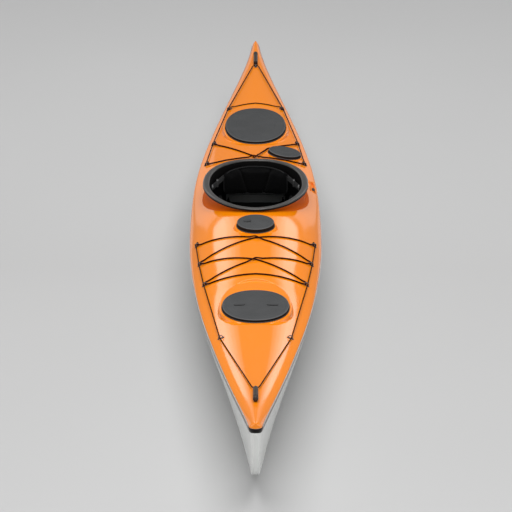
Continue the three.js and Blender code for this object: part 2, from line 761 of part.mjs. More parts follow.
function deckPod() {
  const top = -RIM_UNDER_PAD - GAP;
  const wide = rimOuter;
  const outer = loft(ovalRings(DECK_HATCH, [[wide, top], [wide - POD_TAPER, top - POD_DEPTH]]));
  const innerLow = top - POD_DEPTH + POD_WALL;
  const inner = loft(ovalRings(DECK_HATCH, [
    [wide - POD_WALL, top + OVERRUN], [wide - POD_WALL, top], [wide - POD_TAPER - POD_WALL, innerLow],
  ]));
  return moved(outer.subtract(inner), hatchMatrix(DECK_HATCH));
}

// Bulkheads
function bulkhead(share) {
  const y = share * LENGTH;
  const slab = boxSolid([-BEAM, y, -OVERRUN], [BEAM, y + BULKHEAD_THICKNESS, SEAM_HEIGHT + BEAM]);
  const edge = (hatch) => hatch.margin + LAMINATE + GAP;
  const pads = HATCHES.map((hatch) => ovalPrism(hatch, edge(hatch), -LAMINATE - GAP, OVERRUN, hatch.padAft));
  return pads.reduce((solid, pad) => solid.subtract(pad), slab.intersect(innerRoom(GAP)));
}

// Skeg
const skegY = SKEG_PIVOT_SHARE * LENGTH;
const skegFront = skegY - SKEG_NOSE_RADIUS - SKEG_END_CLEARANCE;
const skegBack = skegY + SKEG_LENGTH + SKEG_END_CLEARANCE;

// Turns a plate drawn as [aft, up] to stand fore and aft, at a point on the centre line.
function uprightMatrix(y, z) {
  const basis = new THREE.Matrix4().makeBasis(
    new THREE.Vector3(0, 1, 0),
    new THREE.Vector3(0, 0, 1),
    new THREE.Vector3(1, 0, 0),
  );
  return new THREE.Matrix4().makeTranslation(0, y, z).multiply(basis);
}

function skegBlade() {
  const nose = [-90, -120, -150, 180, 150, 120, 90].map((degrees) => [
    SKEG_NOSE_RADIUS * Math.cos(radians(degrees)),
    SKEG_NOSE_RADIUS * Math.sin(radians(degrees)),
  ]);
  const heel = -SKEG_NOSE_RADIUS;
  const tip = SKEG_TIP_HEIGHT - SKEG_NOSE_RADIUS;
  const outline = [
    ...nose, [SKEG_LENGTH * 0.8, tip + SKEG_NOSE_RADIUS / 2], [SKEG_LENGTH * 0.93, tip],
    [SKEG_LENGTH * 0.985, heel / 2], [SKEG_LENGTH * 0.94, heel],
  ];
  const hole = circle(SKEG_PIN_RADIUS + SKEG_PIN_CLEARANCE, 12);
  return moved(plateSolid(outline, SKEG_THICKNESS, [hole]), uprightMatrix(skegY, SKEG_PIVOT_HEIGHT));
}

function skegPin(extra) {
  const grip = SKEG_THICKNESS / 2 + SKEG_SLOT_CLEARANCE + SKEG_BOX_WALL + GAP;
  const length = 2 * (grip + extra) + PIN_HEAD_THICKNESS;
  const pin = plateSolid(circle(SKEG_PIN_RADIUS + extra, 12), length);
  if (extra > 0) return moved(pin, uprightMatrix(skegY, SKEG_PIVOT_HEIGHT));
  const head = plateSolid(circle(PIN_HEAD_RADIUS, 12), PIN_HEAD_THICKNESS);
  const reach = grip + PIN_HEAD_THICKNESS / 2;
  const heads = [reach, -reach].map((z) => head.translate([0, 0, z]));
  return moved(pin.add(heads[0]).add(heads[1]), uprightMatrix(skegY, SKEG_PIVOT_HEIGHT));
}

function skegBox() {
  const half = SKEG_THICKNESS / 2 + SKEG_SLOT_CLEARANCE;
  const wall = SKEG_BOX_WALL;
  const outer = boxSolid(
    [-half - wall, skegFront - wall, -OVERRUN],
    [half + wall, skegBack + wall, SKEG_BOX_HEIGHT],
  );
  const inner = boxSolid([-half, skegFront, -2 * OVERRUN], [half, skegBack, SKEG_BOX_HEIGHT - wall]);
  return outer.subtract(inner).intersect(innerRoom(GAP)).subtract(skegPin(SKEG_PIN_CLEARANCE));
}

// A frame on the deck: x outboard to port, y aft along the heading, z along the normal.
function deckFrame(x, y, heading = 0) {
  const step = LAMINATE;
  const slopeX = (deckZ(x + step, y) - deckZ(x - step, y)) / (2 * step);
  const slopeY = (deckZ(x, y + step) - deckZ(x, y - step)) / (2 * step);
  const normal = new THREE.Vector3(-slopeX, -slopeY, 1).normalize();
  const ahead = new THREE.Vector3(Math.sin(heading), Math.cos(heading), 0);
  ahead.addScaledVector(normal, -ahead.dot(normal)).normalize();
  const across = new THREE.Vector3().crossVectors(ahead, normal);
  const frame = new THREE.Matrix4().makeBasis(across, ahead, normal);
  return frame.setPosition(x, y, deckZ(x, y));
}

// The heading of the gunwale beside a place, to port for side 1.
function gunwaleHeading(y, side) {
  return Math.atan(side * slopeOf(halfBreadth, y));
}

// Skeg slider
const sliderY = SLIDER_Y_SHARE * LENGTH;
const sliderFrame = deckFrame((SLIDER_X_SHARE * BEAM) / 2, sliderY, gunwaleHeading(sliderY, 1));
const trackHalf = (SLIDER_TRAVEL + SLIDER_KNOB_LENGTH) / 2 + TRACK_MARGIN;

function trackBlock(grow, low) {
  const half = TRACK_WIDTH / 2 + grow;
  return boxSolid([-half, -trackHalf - grow, low], [half, trackHalf + grow, OVERRUN]);
}

function sliderTrack() {
  const lip = 2 * TRACK_LIP;
  const wall = TRACK_LIP;
  const half = TRACK_WIDTH / 2;
  const body = boxSolid([-half, -trackHalf, -TRACK_DEPTH], [half, trackHalf, TRACK_LIP]);
  const flange = boxSolid(
    [-half - lip, -trackHalf - lip, -TRACK_LIP],
    [half + lip, trackHalf + lip, TRACK_LIP],
  );
  const seated = moved(flange, sliderFrame).subtract(deckSkin(-GAP));
  const channel = boxSolid(
    [-half + wall, -trackHalf + wall, -TRACK_DEPTH + wall],
    [half - wall, trackHalf - wall, OVERRUN],
  );
  return moved(body, sliderFrame).add(seated).subtract(moved(channel, sliderFrame));
}

function sliderKnob() {
  const low = -TRACK_DEPTH + TRACK_LIP + GAP;
  const high = low + SLIDER_KNOB_HEIGHT;
  const place = -SLIDER_TRAVEL / 2;
  const ring = (inset, z) =>
    angles(12).map((angle) => {
      const [x, y] = oval(angle, SLIDER_KNOB_WIDTH / 2 - inset, SLIDER_KNOB_LENGTH / 2 - inset, 3);
      return [x, y + place, z];
    });
  const edge = SLIDER_STEM_WIDTH / 2;
  return moved(loft([ring(0, low), ring(0, high - edge), ring(edge, high)]), sliderFrame);
}

function cableRoute() {
  const start = new THREE.Vector3(0, trackHalf / 2, -TRACK_DEPTH - GAP - CABLE_TUBE_RADIUS);
  start.applyMatrix4(sliderFrame);
  const middle = [
    [0.82, 0.131, 0.93], [0.75, 0.145, 0.86], [0.71, 0.16, 0.83], [0.65, 0.18, 0.82],
    [0.56, 0.205, 0.82], [0.42, 0.24, 0.8], [0.27, 0.27, 0.76], [0.12, 0.296, 0.68],
    [0.03, 0.309, 0.6], [0, 0.314, 0.56],
  ].map(([x, y, z]) => new THREE.Vector3((x * BEAM) / 2, y * LENGTH, z * SEAM_HEIGHT));
  const last = middle[middle.length - 1].clone();
  last.y = skegFront - SKEG_BOX_WALL - GAP;
  return [start, ...middle, last];
}

// Seat, hip pads and back band
const seatY = cockpitY + SEAT_FRONT_SHARE * COCKPIT_HALF_LENGTH;

function seatSection([share, width, base, side], inset) {
  const y = seatY + SEAT_LENGTH * share;
  const half = width * Math.max(cockpitX(y) + COAMING_WALL / 2, SEAT_REAR_HALF_WIDTH) - inset;
  const floor = base * SEAT_BASE_HEIGHT;
  const low = floor + inset * Math.max(1, base / 1.5);
  const top = coamingFootZ(cockpitX(y), y) - SEAT_CLEARANCE;
  const high = inset > 0 ? top + OVERRUN : Math.min(floor + side * SEAT_SIDE_RISE, top);
  const rise = Math.min(floor + side * SEAT_SIDE_RISE, top) - floor;
  return [
    [0, low], [half * 0.5, low], [half * 0.82, low + rise * 0.06],
    [half * 0.95, low + rise * 0.22], [half, low + rise * 0.5], [half, high],
  ].map(([x, z]) => [x, Math.min(z, high), y]);
}

function seatSolid(inset) {
  const sections = SEAT_SHARES.map((row) => seatSection(row, inset));
  const rings = sections.map((section) => ringOf(section, section[0][2]));
  if (inset === 0) return loft(rings);
  const shifted = (ring, by) => ring.map(([x, y, z]) => [x, y + by, z]);
  return loft([shifted(rings[0], -OVERRUN), ...rings, shifted(rings[rings.length - 1], OVERRUN)]);
}

const seatPan = () => seatSolid(0).subtract(seatSolid(SEAT_WALL));

// A soft pad lofted through columns: each has its place, lean, half height and depth fore and aft.
function cushion(columns, middle) {
  const bend = (value) => Math.sign(value) * Math.abs(value) ** 0.62;
  return loft(columns.map(({ x, z, lean, halfHeight, fore, aft }) =>
    angles(PAD_SECTION_SIDES).map((turn) => {
      const depth = Math.cos(turn) > 0 ? aft : fore;
      const rise = halfHeight * bend(Math.sin(turn));
      const across = x + lean * rise;
      return [across, middle(across) + depth * bend(Math.cos(turn)), z + rise];
    }),
  ));
}

const rounding = (share) => Math.max(0.18, (1 - Math.abs(share) ** 6) ** 0.5);

function hipPad(side) {
  const place = seatY + SEAT_LENGTH * HIP_PAD_PLACE_SHARE;
  const columns = HIP_PAD_SHARES.map((share) => ({
    x: (share * HIP_PAD_LENGTH) / 2,
    z: HIP_PAD_HEIGHT_SHARE * SEAM_HEIGHT,
    lean: 0,
    halfHeight: (HIP_PAD_HEIGHT / 2) * (0.7 + 0.3 * rounding(share)),
    fore: (HIP_PAD_THICKNESS / 2) * rounding(share),
    aft: HIP_PAD_THICKNESS * rounding(share),
  }));
  const fore = cockpitX(place - HIP_PAD_LENGTH / 2);
  const aft = cockpitX(place + HIP_PAD_LENGTH / 2);
  const turn = Math.PI / 2 + Math.atan((fore - aft) / HIP_PAD_LENGTH);
  const x = (fore + aft) / 2 - HIP_PAD_THICKNESS / 2;
  const matrix = new THREE.Matrix4().makeTranslation(x, place, 0);
  matrix.multiply(new THREE.Matrix4().makeRotationZ(turn)).multiply(new THREE.Matrix4().makeScale(1, -1, 1));
  const pad = moved(cushion(columns, () => 0), matrix);
  return (side > 0 ? pad : pad.mirror([1, 0, 0])).intersect(seatSolid(SEAT_WALL + GAP));
}

const bandPadY = cockpitY + BAND_PAD_Y_SHARE * COCKPIT_HALF_LENGTH;
const bandPadZ = SEAM_HEIGHT + BAND_PAD_TOP_RISE - BAND_PAD_HEIGHT / 2;
const wrapBack = (x) => bandPadY - BAND_PAD_WRAP * ((2 * x) / BAND_PAD_WIDTH) ** 2;

// How far the pad's columns lean outwards: most at the channels, nothing at the middle and ends.
function channelLean(share) {
  const away = Math.abs(share);
  const near = away < BAND_CHANNEL_SHARE ? away / BAND_CHANNEL_SHARE : (1 - away) / (1 - BAND_CHANNEL_SHARE);
  return Math.sign(share) * near * BAND_CHANNEL_LEAN;
}

function backBand() {
  const half = BAND_PAD_WIDTH / 2;
  return cushion(BAND_PAD_SHARES.map((share) => {
    const away = (Math.abs(share) - BAND_CHANNEL_SHARE) * half;
    const dip = Math.exp(-((away / BAND_CHANNEL_WIDTH) ** 2));
    const drawn = 1 - 0.16 * share * share - 0.04 * dip;
    return {
      x: share * half,
      z: bandPadZ,
      lean: channelLean(share),
      halfHeight: (BAND_PAD_HEIGHT / 2) * drawn * (0.8 + 0.2 * rounding(share)),
      fore: (BAND_PAD_THICKNESS / 2) * rounding(share) - dip * BAND_CHANNEL_DEPTH,
      aft: (BAND_PAD_THICKNESS / 2) * rounding(share),
    };
  }), wrapBack);
}

// A strap from a disc beside the coaming to the front of the pad's wing.
function backStrap(side) {
  const bolt = cockpitY + STRAP_BOLT_Y_SHARE * COCKPIT_HALF_LENGTH;
  const boltZ = SEAM_HEIGHT + STRAP_BOLT_RISE;
  const wide = STRAP_THICKNESS / 2;
  const fromX = cockpitX(bolt + STRAP_DISC_RADIUS) - STRAP_CLEARANCE - wide;
  const toX = BAND_PAD_WIDTH / 2 - wide;
  const wing = rounding((2 * toX) / BAND_PAD_WIDTH) * STRAP_SEAT_SHARE;
  const toY = wrapBack(toX) - (BAND_PAD_THICKNESS / 2) * wing - GAP;
  const ring = (x, y) => {
    const low = boltZ - STRAP_HEIGHT / 2;
    const high = low + STRAP_HEIGHT;
    return [[x - wide, y, low], [x + wide, y, low], [x + wide, y, high], [x - wide, y, high]];
  };
  const strap = loft([ring(fromX, bolt), ring(toX, toY)]);
  const disc = plateSolid(circle(STRAP_DISC_RADIUS, 16), STRAP_DISC_THICKNESS);
  const place = uprightMatrix(bolt, boltZ);
  place.premultiply(new THREE.Matrix4().makeTranslation(fromX + wide - STRAP_DISC_THICKNESS / 2, 0, 0));
  const joined = strap.add(moved(disc, place));
  return side > 0 ? joined : joined.mirror([1, 0, 0]);
}

// Footrests
const railY = RAIL_CENTRE_SHARE * LENGTH;
const railZ = RAIL_HEIGHT_SHARE * SEAM_HEIGHT;

function footRail(side) {
  const half = RAIL_HEIGHT / 2;
  const block = boxSolid(
    [RAIL_FACE_X, railY - RAIL_LENGTH / 2, railZ - half],
    [BEAM, railY + RAIL_LENGTH / 2, railZ + half],
  );
  const reach = RAIL_LENGTH / 2 - RAIL_CHANNEL_MARGIN;
  const channel = boxSolid(
    [RAIL_FACE_X - GAP, railY - reach, railZ - RAIL_CHANNEL_HEIGHT / 2],
    [RAIL_FACE_X + RAIL_CHANNEL_DEPTH, railY + reach, railZ + RAIL_CHANNEL_HEIGHT / 2],
  );
  const rail = block.subtract(channel).intersect(innerRoom(GAP));
  return side > 0 ? rail : rail.mirror([1, 0, 0]);
}

function footPedal(side) {
  const face = RAIL_FACE_X - PEDAL_CLEARANCE;
  const halfY = PEDAL_HUB_LENGTH / 2;
  const halfZ = PEDAL_HUB_HEIGHT / 2;
  const tongue = RAIL_CHANNEL_HEIGHT / 2 - PEDAL_CLEARANCE;
  const hub = boxSolid(
    [face - PEDAL_HUB_WIDTH, railY - halfY, railZ - halfZ],
    [face, railY + halfY, railZ + halfZ],
  );
  const key = boxSolid(
    [face - PEDAL_HUB_WIDTH / 2, railY - halfY, railZ - tongue],
    [RAIL_FACE_X + RAIL_CHANNEL_DEPTH - PEDAL_CLEARANCE, railY + halfY, railZ + tongue],
  );
  const outline = angles(20).map((angle) =>
    oval(angle, PEDAL_PLATE_WIDTH / 2, PEDAL_PLATE_HEIGHT / 2, 4),
  );
  const stand = new THREE.Matrix4().makeTranslation(
    face - PEDAL_PLATE_IN - PEDAL_PLATE_WIDTH / 2,
    railY + halfY - PEDAL_PLATE_THICKNESS / 2,
    railZ + PEDAL_PLATE_UP,
  );
  stand.multiply(new THREE.Matrix4().makeRotationX(Math.PI / 2));
  const pedal = hub.add(key).add(moved(plateSolid(outline, PEDAL_PLATE_THICKNESS), stand));
  return side > 0 ? pedal : pedal.mirror([1, 0, 0]);
}

// Deck fittings
const deckUnder = deckSkin(-GAP);

function fittingFrame(key, side) {
  const { xShare, yShare } = FITTINGS[key];
  const y = yShare * LENGTH;
  return deckFrame((side * xShare * BEAM) / 2, y, gunwaleHeading(y, side));
}

// A centre fitting's frame has x towards the cockpit, and y to port at the stern.
const centreFrame = (share) => deckFrame(0, share * LENGTH, (Math.sign(share) * Math.PI) / 2);

function deckFitting(frame) {
  const right = [
    [FITTING_HALF_BASE, -FITTING_HEIGHT / 2], [FITTING_HALF_BASE, FITTING_BASE_THICKNESS],
    [FITTING_HALF_ARCH, FITTING_BASE_THICKNESS + FITTING_STEP],
    [FITTING_HALF_ARCH, FITTING_SHOULDER],
    [FITTING_HOLE_HALF, FITTING_HEIGHT],
  ];
  const hole = [
    [FITTING_HOLE_HALF - FITTING_CORNER, FITTING_HOLE_BASE],
    [FITTING_HOLE_HALF, FITTING_HOLE_BASE + FITTING_CORNER],
    [FITTING_HOLE_HALF, FITTING_HOLE_TOP - FITTING_CORNER],
    [FITTING_HOLE_HALF - FITTING_CORNER, FITTING_HOLE_TOP],
  ];
  const both = (points) => [...points, ...points.toReversed().map(([s, n]) => [-s, n])];
  const plate = plateSolid(both(right), FITTING_LENGTH, [both(hole)]);
  const stand = frame.clone().multiply(new THREE.Matrix4().makeRotationX(Math.PI / 2));
  return moved(plate, stand).subtract(deckUnder);
}

// Cords
// A place beside a fitting: s outboard, f aft, n up from the deck.
function beside(key, side, s, f, n = LANE_HEIGHT) {
  return new THREE.Vector3(side * s, f, n).applyMatrix4(fittingFrame(key, side));
}

// A place on the deck, given by shares of the half beam and of the length.
function onDeck(xShare, yShare, radius, lift = 0) {
  const x = (xShare * BEAM) / 2;
  const y = yShare * LENGTH;
  return new THREE.Vector3(x, y, deckZ(x, y) + radius + CORD_CLEARANCE + lift);
}

// The way through a fitting, aft for way 1 and towards the bow for way -1.
function passage(key, side, lane, way, turnIn) {
  if (turnIn === 0) {
    return [beside(key, side, lane, -way * CORD_RUN), beside(key, side, lane, way * CORD_RUN)];
  }
  return [
    beside(key, side, lane - turnIn, -way * CORD_TURN), beside(key, side, lane, -way * CORD_RUN),
    beside(key, side, lane, way * CORD_RUN), beside(key, side, lane - turnIn, way * CORD_TURN),
  ];
}

// The start of a cord: its tail, its knot and the way through its first fitting.
function cordStart(key, side, lane, way, turnIn) {
  const shift = lane + Math.sign(lane) * KNOT_SHIFT;
  return [
    beside(key, side, shift * 1.2, -way * TAIL_PLACE), beside(key, side, shift, -way * KNOT_PLACE),
    ...passage(key, side, lane, way, turnIn).slice(1),
  ];
}

function strung(points, radius, step) {
  const all = [points[0]];
  points.slice(1).forEach((point, i) => {
    const from = points[i];
    const count = Math.max(1, Math.round(from.distanceTo(point) / step));
    for (let j = 1; j <= count; j += 1) {
      const place = from.clone().lerp(point, j / count);
      if (j < count) place.z = Math.max(place.z, deckZ(place.x, place.y) + radius + CORD_CLEARANCE);
      all.push(place);
    }
  });
  all.slice(1).forEach((point, i) => raiseStep(all[i], point, radius));
  return all;
}

// Raises both ends of a step whose middle would sink into the deck.
function raiseStep(from, to, radius) {
  const middle = from.clone().add(to).divideScalar(2);
  const lack = deckZ(middle.x, middle.y) + radius + 2 * GAP - middle.z;
  if (lack <= 0) return;
  from.z += lack;
  to.z += lack;
}

function knotSolid(point, radius) {
  const geometry = new THREE.SphereGeometry(radius, CORD_SIDES, CORD_SIDES / 2);
  return solidOf(geometry.translate(point.x, point.y, point.z));
}

// A cord with a knot near each of its ends.
function knottedCord(points, radius, step, knotRadius) {
  const cord = tubeSolid(strung(points, radius, step), radius);
  const knots = [points[1], points[points.length - 2]];
  return knots.reduce((solid, point) => solid.add(knotSolid(point, knotRadius)), cord);
}

const mirrored = (points) => points.toReversed().map((p) => new THREE.Vector3(-p.x, p.y, p.z));

function foreBungee() {
  const via = (yShare, lift) => onDeck(0, yShare, BUNGEE_RADIUS, lift);
  const through = (key, side, way) => passage(key, side, BUNGEE_LANE, way, CORD_TURN_IN);
  const start = (side) => cordStart("fore_rear", side, BUNGEE_LANE, -1, CORD_TURN_IN);
  const points = [
    ...start(1), via(-0.0805, 0), ...through("fore_middle", -1, -1), via(-0.1285, 0),
    ...through("fore_front", 1, -1), via(-0.1585, 0), ...through("fore_front", -1, 1),
    via(-0.1285, CROSSING_LIFT), ...through("fore_middle", 1, 1), via(-0.0805, CROSSING_LIFT),
    ...start(-1).toReversed(),
  ];
  return knottedCord(points, BUNGEE_RADIUS, BUNGEE_STEP, KNOT_RADIUS);
}

// Places on the deck along half of each aft cord: shares of the half beam and length, then lift.
const AFT_BUNGEE_SHARES = [[0.47, 0.1603, 0], [0.22, 0.1615, 0]];
const AFT_MIDDLE_SHARES = [
  [0.108, 0.1622, 0], [0.032, 0.1624, 0.55], [-0.014, 0.1624, 1], [-0.044, 0.1624, 1],
  [-0.108, 0.1622, 0],
];
const HOOK_PORT_SHARES = [[0.38, 0.2, 0], [0.19, 0.1895, 0], [0.05, 0.1672, 0.7]];
const HOOK_MIDDLE_SHARES = [
  [0.032, 0.1624, 1.62], [0.021, 0.1606, 1.2], [0, 0.1598, 0.6], [-0.021, 0.1606, 0.1],
  [-0.028, 0.1624, 0], [-0.05, 0.1672, 0],
];

function deckPlaces(table) {
  return table.map(([x, y, lift]) => onDeck(x, y, BUNGEE_RADIUS, lift * CROSSING_LIFT));
}

function aftBungee() {
  const start = [
    ...cordStart("aft_front", 1, BUNGEE_LANE, -1, CORD_TURN_IN), ...deckPlaces(AFT_BUNGEE_SHARES),
  ];
  const points = [...start, ...deckPlaces(AFT_MIDDLE_SHARES), ...mirrored(start)];
  return knottedCord(points, BUNGEE_RADIUS, BUNGEE_STEP, KNOT_RADIUS);
}

function aftHookCord() {
  const start = (side) => cordStart("aft_middle", side, BUNGEE_LANE, -1, CORD_TURN_IN);
  const points = [
    ...start(1), ...deckPlaces(HOOK_PORT_SHARES), ...deckPlaces(HOOK_MIDDLE_SHARES),
    ...start(-1).toReversed(),
  ];
  return knottedCord(points, BUNGEE_RADIUS, BUNGEE_STEP, KNOT_RADIUS);
}

function aftCrossLine() {
  const start = cordStart("aft_rear", 1, BUNGEE_LANE, 1, CORD_TURN_IN);
  const points = [...start, onDeck(0, 0.3215, LINE_RADIUS), ...mirrored(start)];
  return knottedCord(points, LINE_RADIUS, BUNGEE_STEP, LINE_KNOT_RADIUS);
}

// The deck line's turn through a centre fitting, with its legs towards the cockpit.
function endTurn(share) {
  const frame = centreFrame(share);
  const half = TURN_SHARES.map(([behind, across]) => {
    const x = LINE_LANE - behind * CORD_TURN;
    const y = Math.sign(share) * across * CORD_TURN;
    return new THREE.Vector3(x, y, LANE_HEIGHT).applyMatrix4(frame);
  });
  return [...half.toReversed(), ...mirrored(half.toReversed())];
}

function deckLine(keys, way, middle, extra) {
  const start = cordStart(keys[0], 1, LINE_LANE, way, 0);
  const rest = keys.slice(1).map((key) => passage(key, 1, LINE_LANE, way, 0));
  const port = [...start, ...extra, ...rest.flat()];
  const starboard = mirrored([...start, ...rest.flat()]);
  return knottedCord([...port, ...middle, ...starboard], LINE_RADIUS, LINE_STEP, LINE_KNOT_RADIUS);
}

const foreDeckLine = () =>
  deckLine(["fore_rear", "fore_middle", "fore_front", "bow_side"], -1, endTurn(BOW_FITTING_SHARE), []);

function aftDeckLine() {
  const bulge = onDeck(0.757, 0.177, LINE_RADIUS, CORD_CLEARANCE);
  return deckLine(
    ["aft_front", "aft_middle", "aft_rear"], 1, endTurn(STERN_FITTING_SHARE), [bulge],
  );
}

// A grab toggle lying from its fitting towards the tip: a handle and the cord loop that holds it.
function toggle(share) {
  const frame = centreFrame(share);
  const r = TOGGLE_RADIUS;
  const edge = TOGGLE_ROUNDING;
  const profile = [
    [0, 0], [r - edge, 0], [r, edge], [r, TOGGLE_LENGTH - edge], [r - edge, TOGGLE_LENGTH],
    [0, TOGGLE_LENGTH],
  ].map((p) => new THREE.Vector2(...p));
  const bar = new THREE.LatheGeometry(profile, TOGGLE_SEGMENTS).rotateZ(Math.PI / 2);
  const start = BUNGEE_LANE - TOGGLE_STANDOFF;
  const handle = solidOf(bar.translate(start, 0, r + TOGGLE_LIFT));
  const half = LOOP_SHARES.map(([out, across, up]) => new THREE.Vector3(
    BUNGEE_LANE - out * TOGGLE_STANDOFF,
    across * TOGGLE_STANDOFF,
    LANE_HEIGHT + up * TOGGLE_STANDOFF,
  ));
  const other = half.map((p) => new THREE.Vector3(p.x, -p.y, p.z));
  const loop = tubeSolid([...half.toReversed(), ...other], TOGGLE_LOOP_RADIUS);
  return moved(handle.add(loop), frame);
}

// The whole boat
const sides = [["port", 1], ["starboard", -1]];
const cable = (extra) => tubeSolid(cableRoute(), CABLE_TUBE_RADIUS + extra);
const pierced = (share) => bulkhead(share).subtract(cable(GAP));

const pieces = [
  ["hull_shell", hullShell(), "pale"],
  ["deck_shell", deckShell(), "orange"],
  ["bow_cap", endCap(-1), "black"],
  ["stern_cap", endCap(1), "black"],
  ["cockpit_coaming", coaming(), "black"],
  ["front_bulkhead", bulkhead(FRONT_BULKHEAD_SHARE), "board"],
  ["rear_bulkhead", pierced(REAR_BULKHEAD_SHARE), "board"],
  ["day_bulkhead", pierced(DAY_BULKHEAD_SHARE), "board"],
  ["skeg_box", skegBox(), "board"],
  ["skeg_blade", skegBlade(), "black"],
  ["skeg_pivot_pin", skegPin(0), "steel"],
  ["skeg_slider", sliderKnob(), "black"],
  ["skeg_slider_track", sliderTrack(), "orange"],
  ["skeg_cable_tube", cable(0), "black"],
  ["seat_pan", seatPan(), "black"],
  ["back_band", backBand(), "foam"],
  ["deck_pod", deckPod(), "black"],
  ["bow_toggle", toggle(BOW_FITTING_SHARE), "black"],
  ["stern_toggle", toggle(STERN_FITTING_SHARE), "black"],
  ["fore_bungee", foreBungee(), "cord"],
  ["aft_bungee", aftBungee(), "cord"],
  ["aft_bungee_hook", aftHookCord(), "cord"],
  ["aft_cross_line", aftCrossLine(), "cord"],
  ["fore_deck_line", foreDeckLine(), "cord"],
  ["aft_deck_line", aftDeckLine(), "cord"],
  ["fitting_bow", deckFitting(centreFrame(BOW_FITTING_SHARE)), "black"],
  ["fitting_stern", deckFitting(centreFrame(STERN_FITTING_SHARE)), "black"],
];
for (const hatch of HATCHES) {
  pieces.push([`${hatch.name}_rim`, hatchRim(hatch), "black"]);
  pieces.push([`${hatch.name}_cover`, hatchLid(hatch), "rubber"]);
}
for (const [name, side] of sides) {
  pieces.push([`seam_band_${name}`, seamBand(side), "band"]);
  pieces.push([`hip_pad_${name}`, hipPad(side), "foam"]);
  pieces.push([`back_band_strap_${name}`, backStrap(side), "black"]);
  pieces.push([`foot_rail_${name}`, footRail(side), "black"]);
  pieces.push([`foot_pedal_${name}`, footPedal(side), "black"]);
  for (const key of Object.keys(FITTINGS)) {
    pieces.push([`fitting_${key}_${name}`, deckFitting(fittingFrame(key, side)), "black"]);
  }
}

const kayak = new THREE.Group();
kayak.name = "sea_kayak";
for (const [name, solid, finish] of pieces) kayak.add(meshOf(name, solid, finish));

export default kayak;
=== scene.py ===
"""Sea kayak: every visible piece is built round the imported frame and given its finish."""

import logging
import math
from dataclasses import dataclass
from enum import Enum
from typing import Callable, Iterable, Optional

import bmesh
import bpy
import numpy as np
from mathutils import Matrix, Vector
from mathutils.geometry import delaunay_2d_cdt


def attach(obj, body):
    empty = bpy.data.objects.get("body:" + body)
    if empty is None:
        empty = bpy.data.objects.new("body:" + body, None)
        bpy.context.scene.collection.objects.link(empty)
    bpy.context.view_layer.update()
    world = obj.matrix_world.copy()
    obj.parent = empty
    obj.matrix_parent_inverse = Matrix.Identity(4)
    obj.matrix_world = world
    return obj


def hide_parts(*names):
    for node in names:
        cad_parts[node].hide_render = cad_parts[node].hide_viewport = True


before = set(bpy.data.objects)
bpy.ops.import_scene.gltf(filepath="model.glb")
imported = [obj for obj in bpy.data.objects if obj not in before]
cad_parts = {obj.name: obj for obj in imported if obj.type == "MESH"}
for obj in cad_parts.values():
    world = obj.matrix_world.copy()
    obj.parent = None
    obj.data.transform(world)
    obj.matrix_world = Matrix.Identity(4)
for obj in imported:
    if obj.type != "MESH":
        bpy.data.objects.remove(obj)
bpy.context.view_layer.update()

log = logging.getLogger("kayak")

# Sizes below are in millimetres, and meshes are made in metres.
MM = 0.001
LENGTH = 5000.0
BEAM = 555.0
SEAM_HEIGHT = 240.0
DECK_RISE = 110.0
LAMINATE = 4.0
KEEL_FLAT = 13.0
GAP = 0.3
BAND_PROUD = 2.3
SEAM_GAP = 0.4
HALVINGS = 36
WELD = 0.001
ORIGIN = (0.0, 0.0, 0.0)

Array = np.ndarray
Point = tuple[float, float, float]


# ---------------------------------------------------------------- lines of the boat
class Run:
    """A steady curve through (share, value) rows, without overshoot."""

    def __init__(self, rows: list[tuple[float, float]]) -> None:
        """Args: rows: places and values, in order of place."""
        self.x, self.y = np.array(rows, float).T
        self.h = np.diff(self.x)
        rise = np.diff(self.y) / self.h
        slope = np.zeros_like(self.x)
        slope[0], slope[-1] = rise[0], rise[-1]
        for j in range(1, len(self.x) - 1):
            before, after = rise[j - 1], rise[j]
            if before * after > 0:
                first = 2 * self.h[j] + self.h[j - 1]
                second = self.h[j] + 2 * self.h[j - 1]
                slope[j] = (first + second) / (first / before + second / after)
        self.slope = slope

    def __call__(self, share: Array | float) -> Array:
        """Args: share: places on the curve. Returns: the values there."""
        at = np.clip(np.asarray(share, float), self.x[0], self.x[-1])
        i = np.clip(np.searchsorted(self.x, at, side="right") - 1, 0, len(self.h) - 1)
        h = self.h[i]
        t = (at - self.x[i]) / h
        start = self.y[i] * (1 + 2 * t) * (1 - t) ** 2 + self.slope[i] * h * t * (1 - t) ** 2
        return start + self.y[i + 1] * t * t * (3 - 2 * t) - self.slope[i + 1] * h * t * t * (1 - t)


PLAN = Run([
    (0, 0.085), (0.02, 0.125), (0.05, 0.2), (0.1, 0.333), (0.15, 0.464), (0.2, 0.588),
    (0.25, 0.705), (0.3, 0.808), (0.35, 0.89), (0.4, 0.952), (0.45, 0.99), (0.5, 1),
    (0.55, 0.993), (0.6, 0.968), (0.65, 0.915), (0.7, 0.827), (0.75, 0.712), (0.8, 0.58),
    (0.85, 0.437), (0.9, 0.29), (0.95, 0.155), (0.98, 0.092), (1, 0.06),
])
SEAM = Run([
    (0, 1.48), (0.1, 1.295), (0.2, 1.158), (0.3, 1.063), (0.4, 1.013), (0.5, 1),
    (0.6, 1.008), (0.7, 1.042), (0.8, 1.108), (0.9, 1.208), (1, 1.342),
])
KEEL = Run([
    (0, 1.38), (0.004, 1.25), (0.012, 0.94), (0.025, 0.625), (0.045, 0.354), (0.07, 0.187),
    (0.11, 0.083), (0.17, 0.029), (0.25, 0.006), (0.32, 0), (0.5, 0), (0.68, 0),
    (0.76, 0.008), (0.84, 0.037), (0.9, 0.092), (0.935, 0.175), (0.96, 0.312),
    (0.98, 0.562), (0.99, 0.792), (0.997, 1.062), (1, 1.242),
])
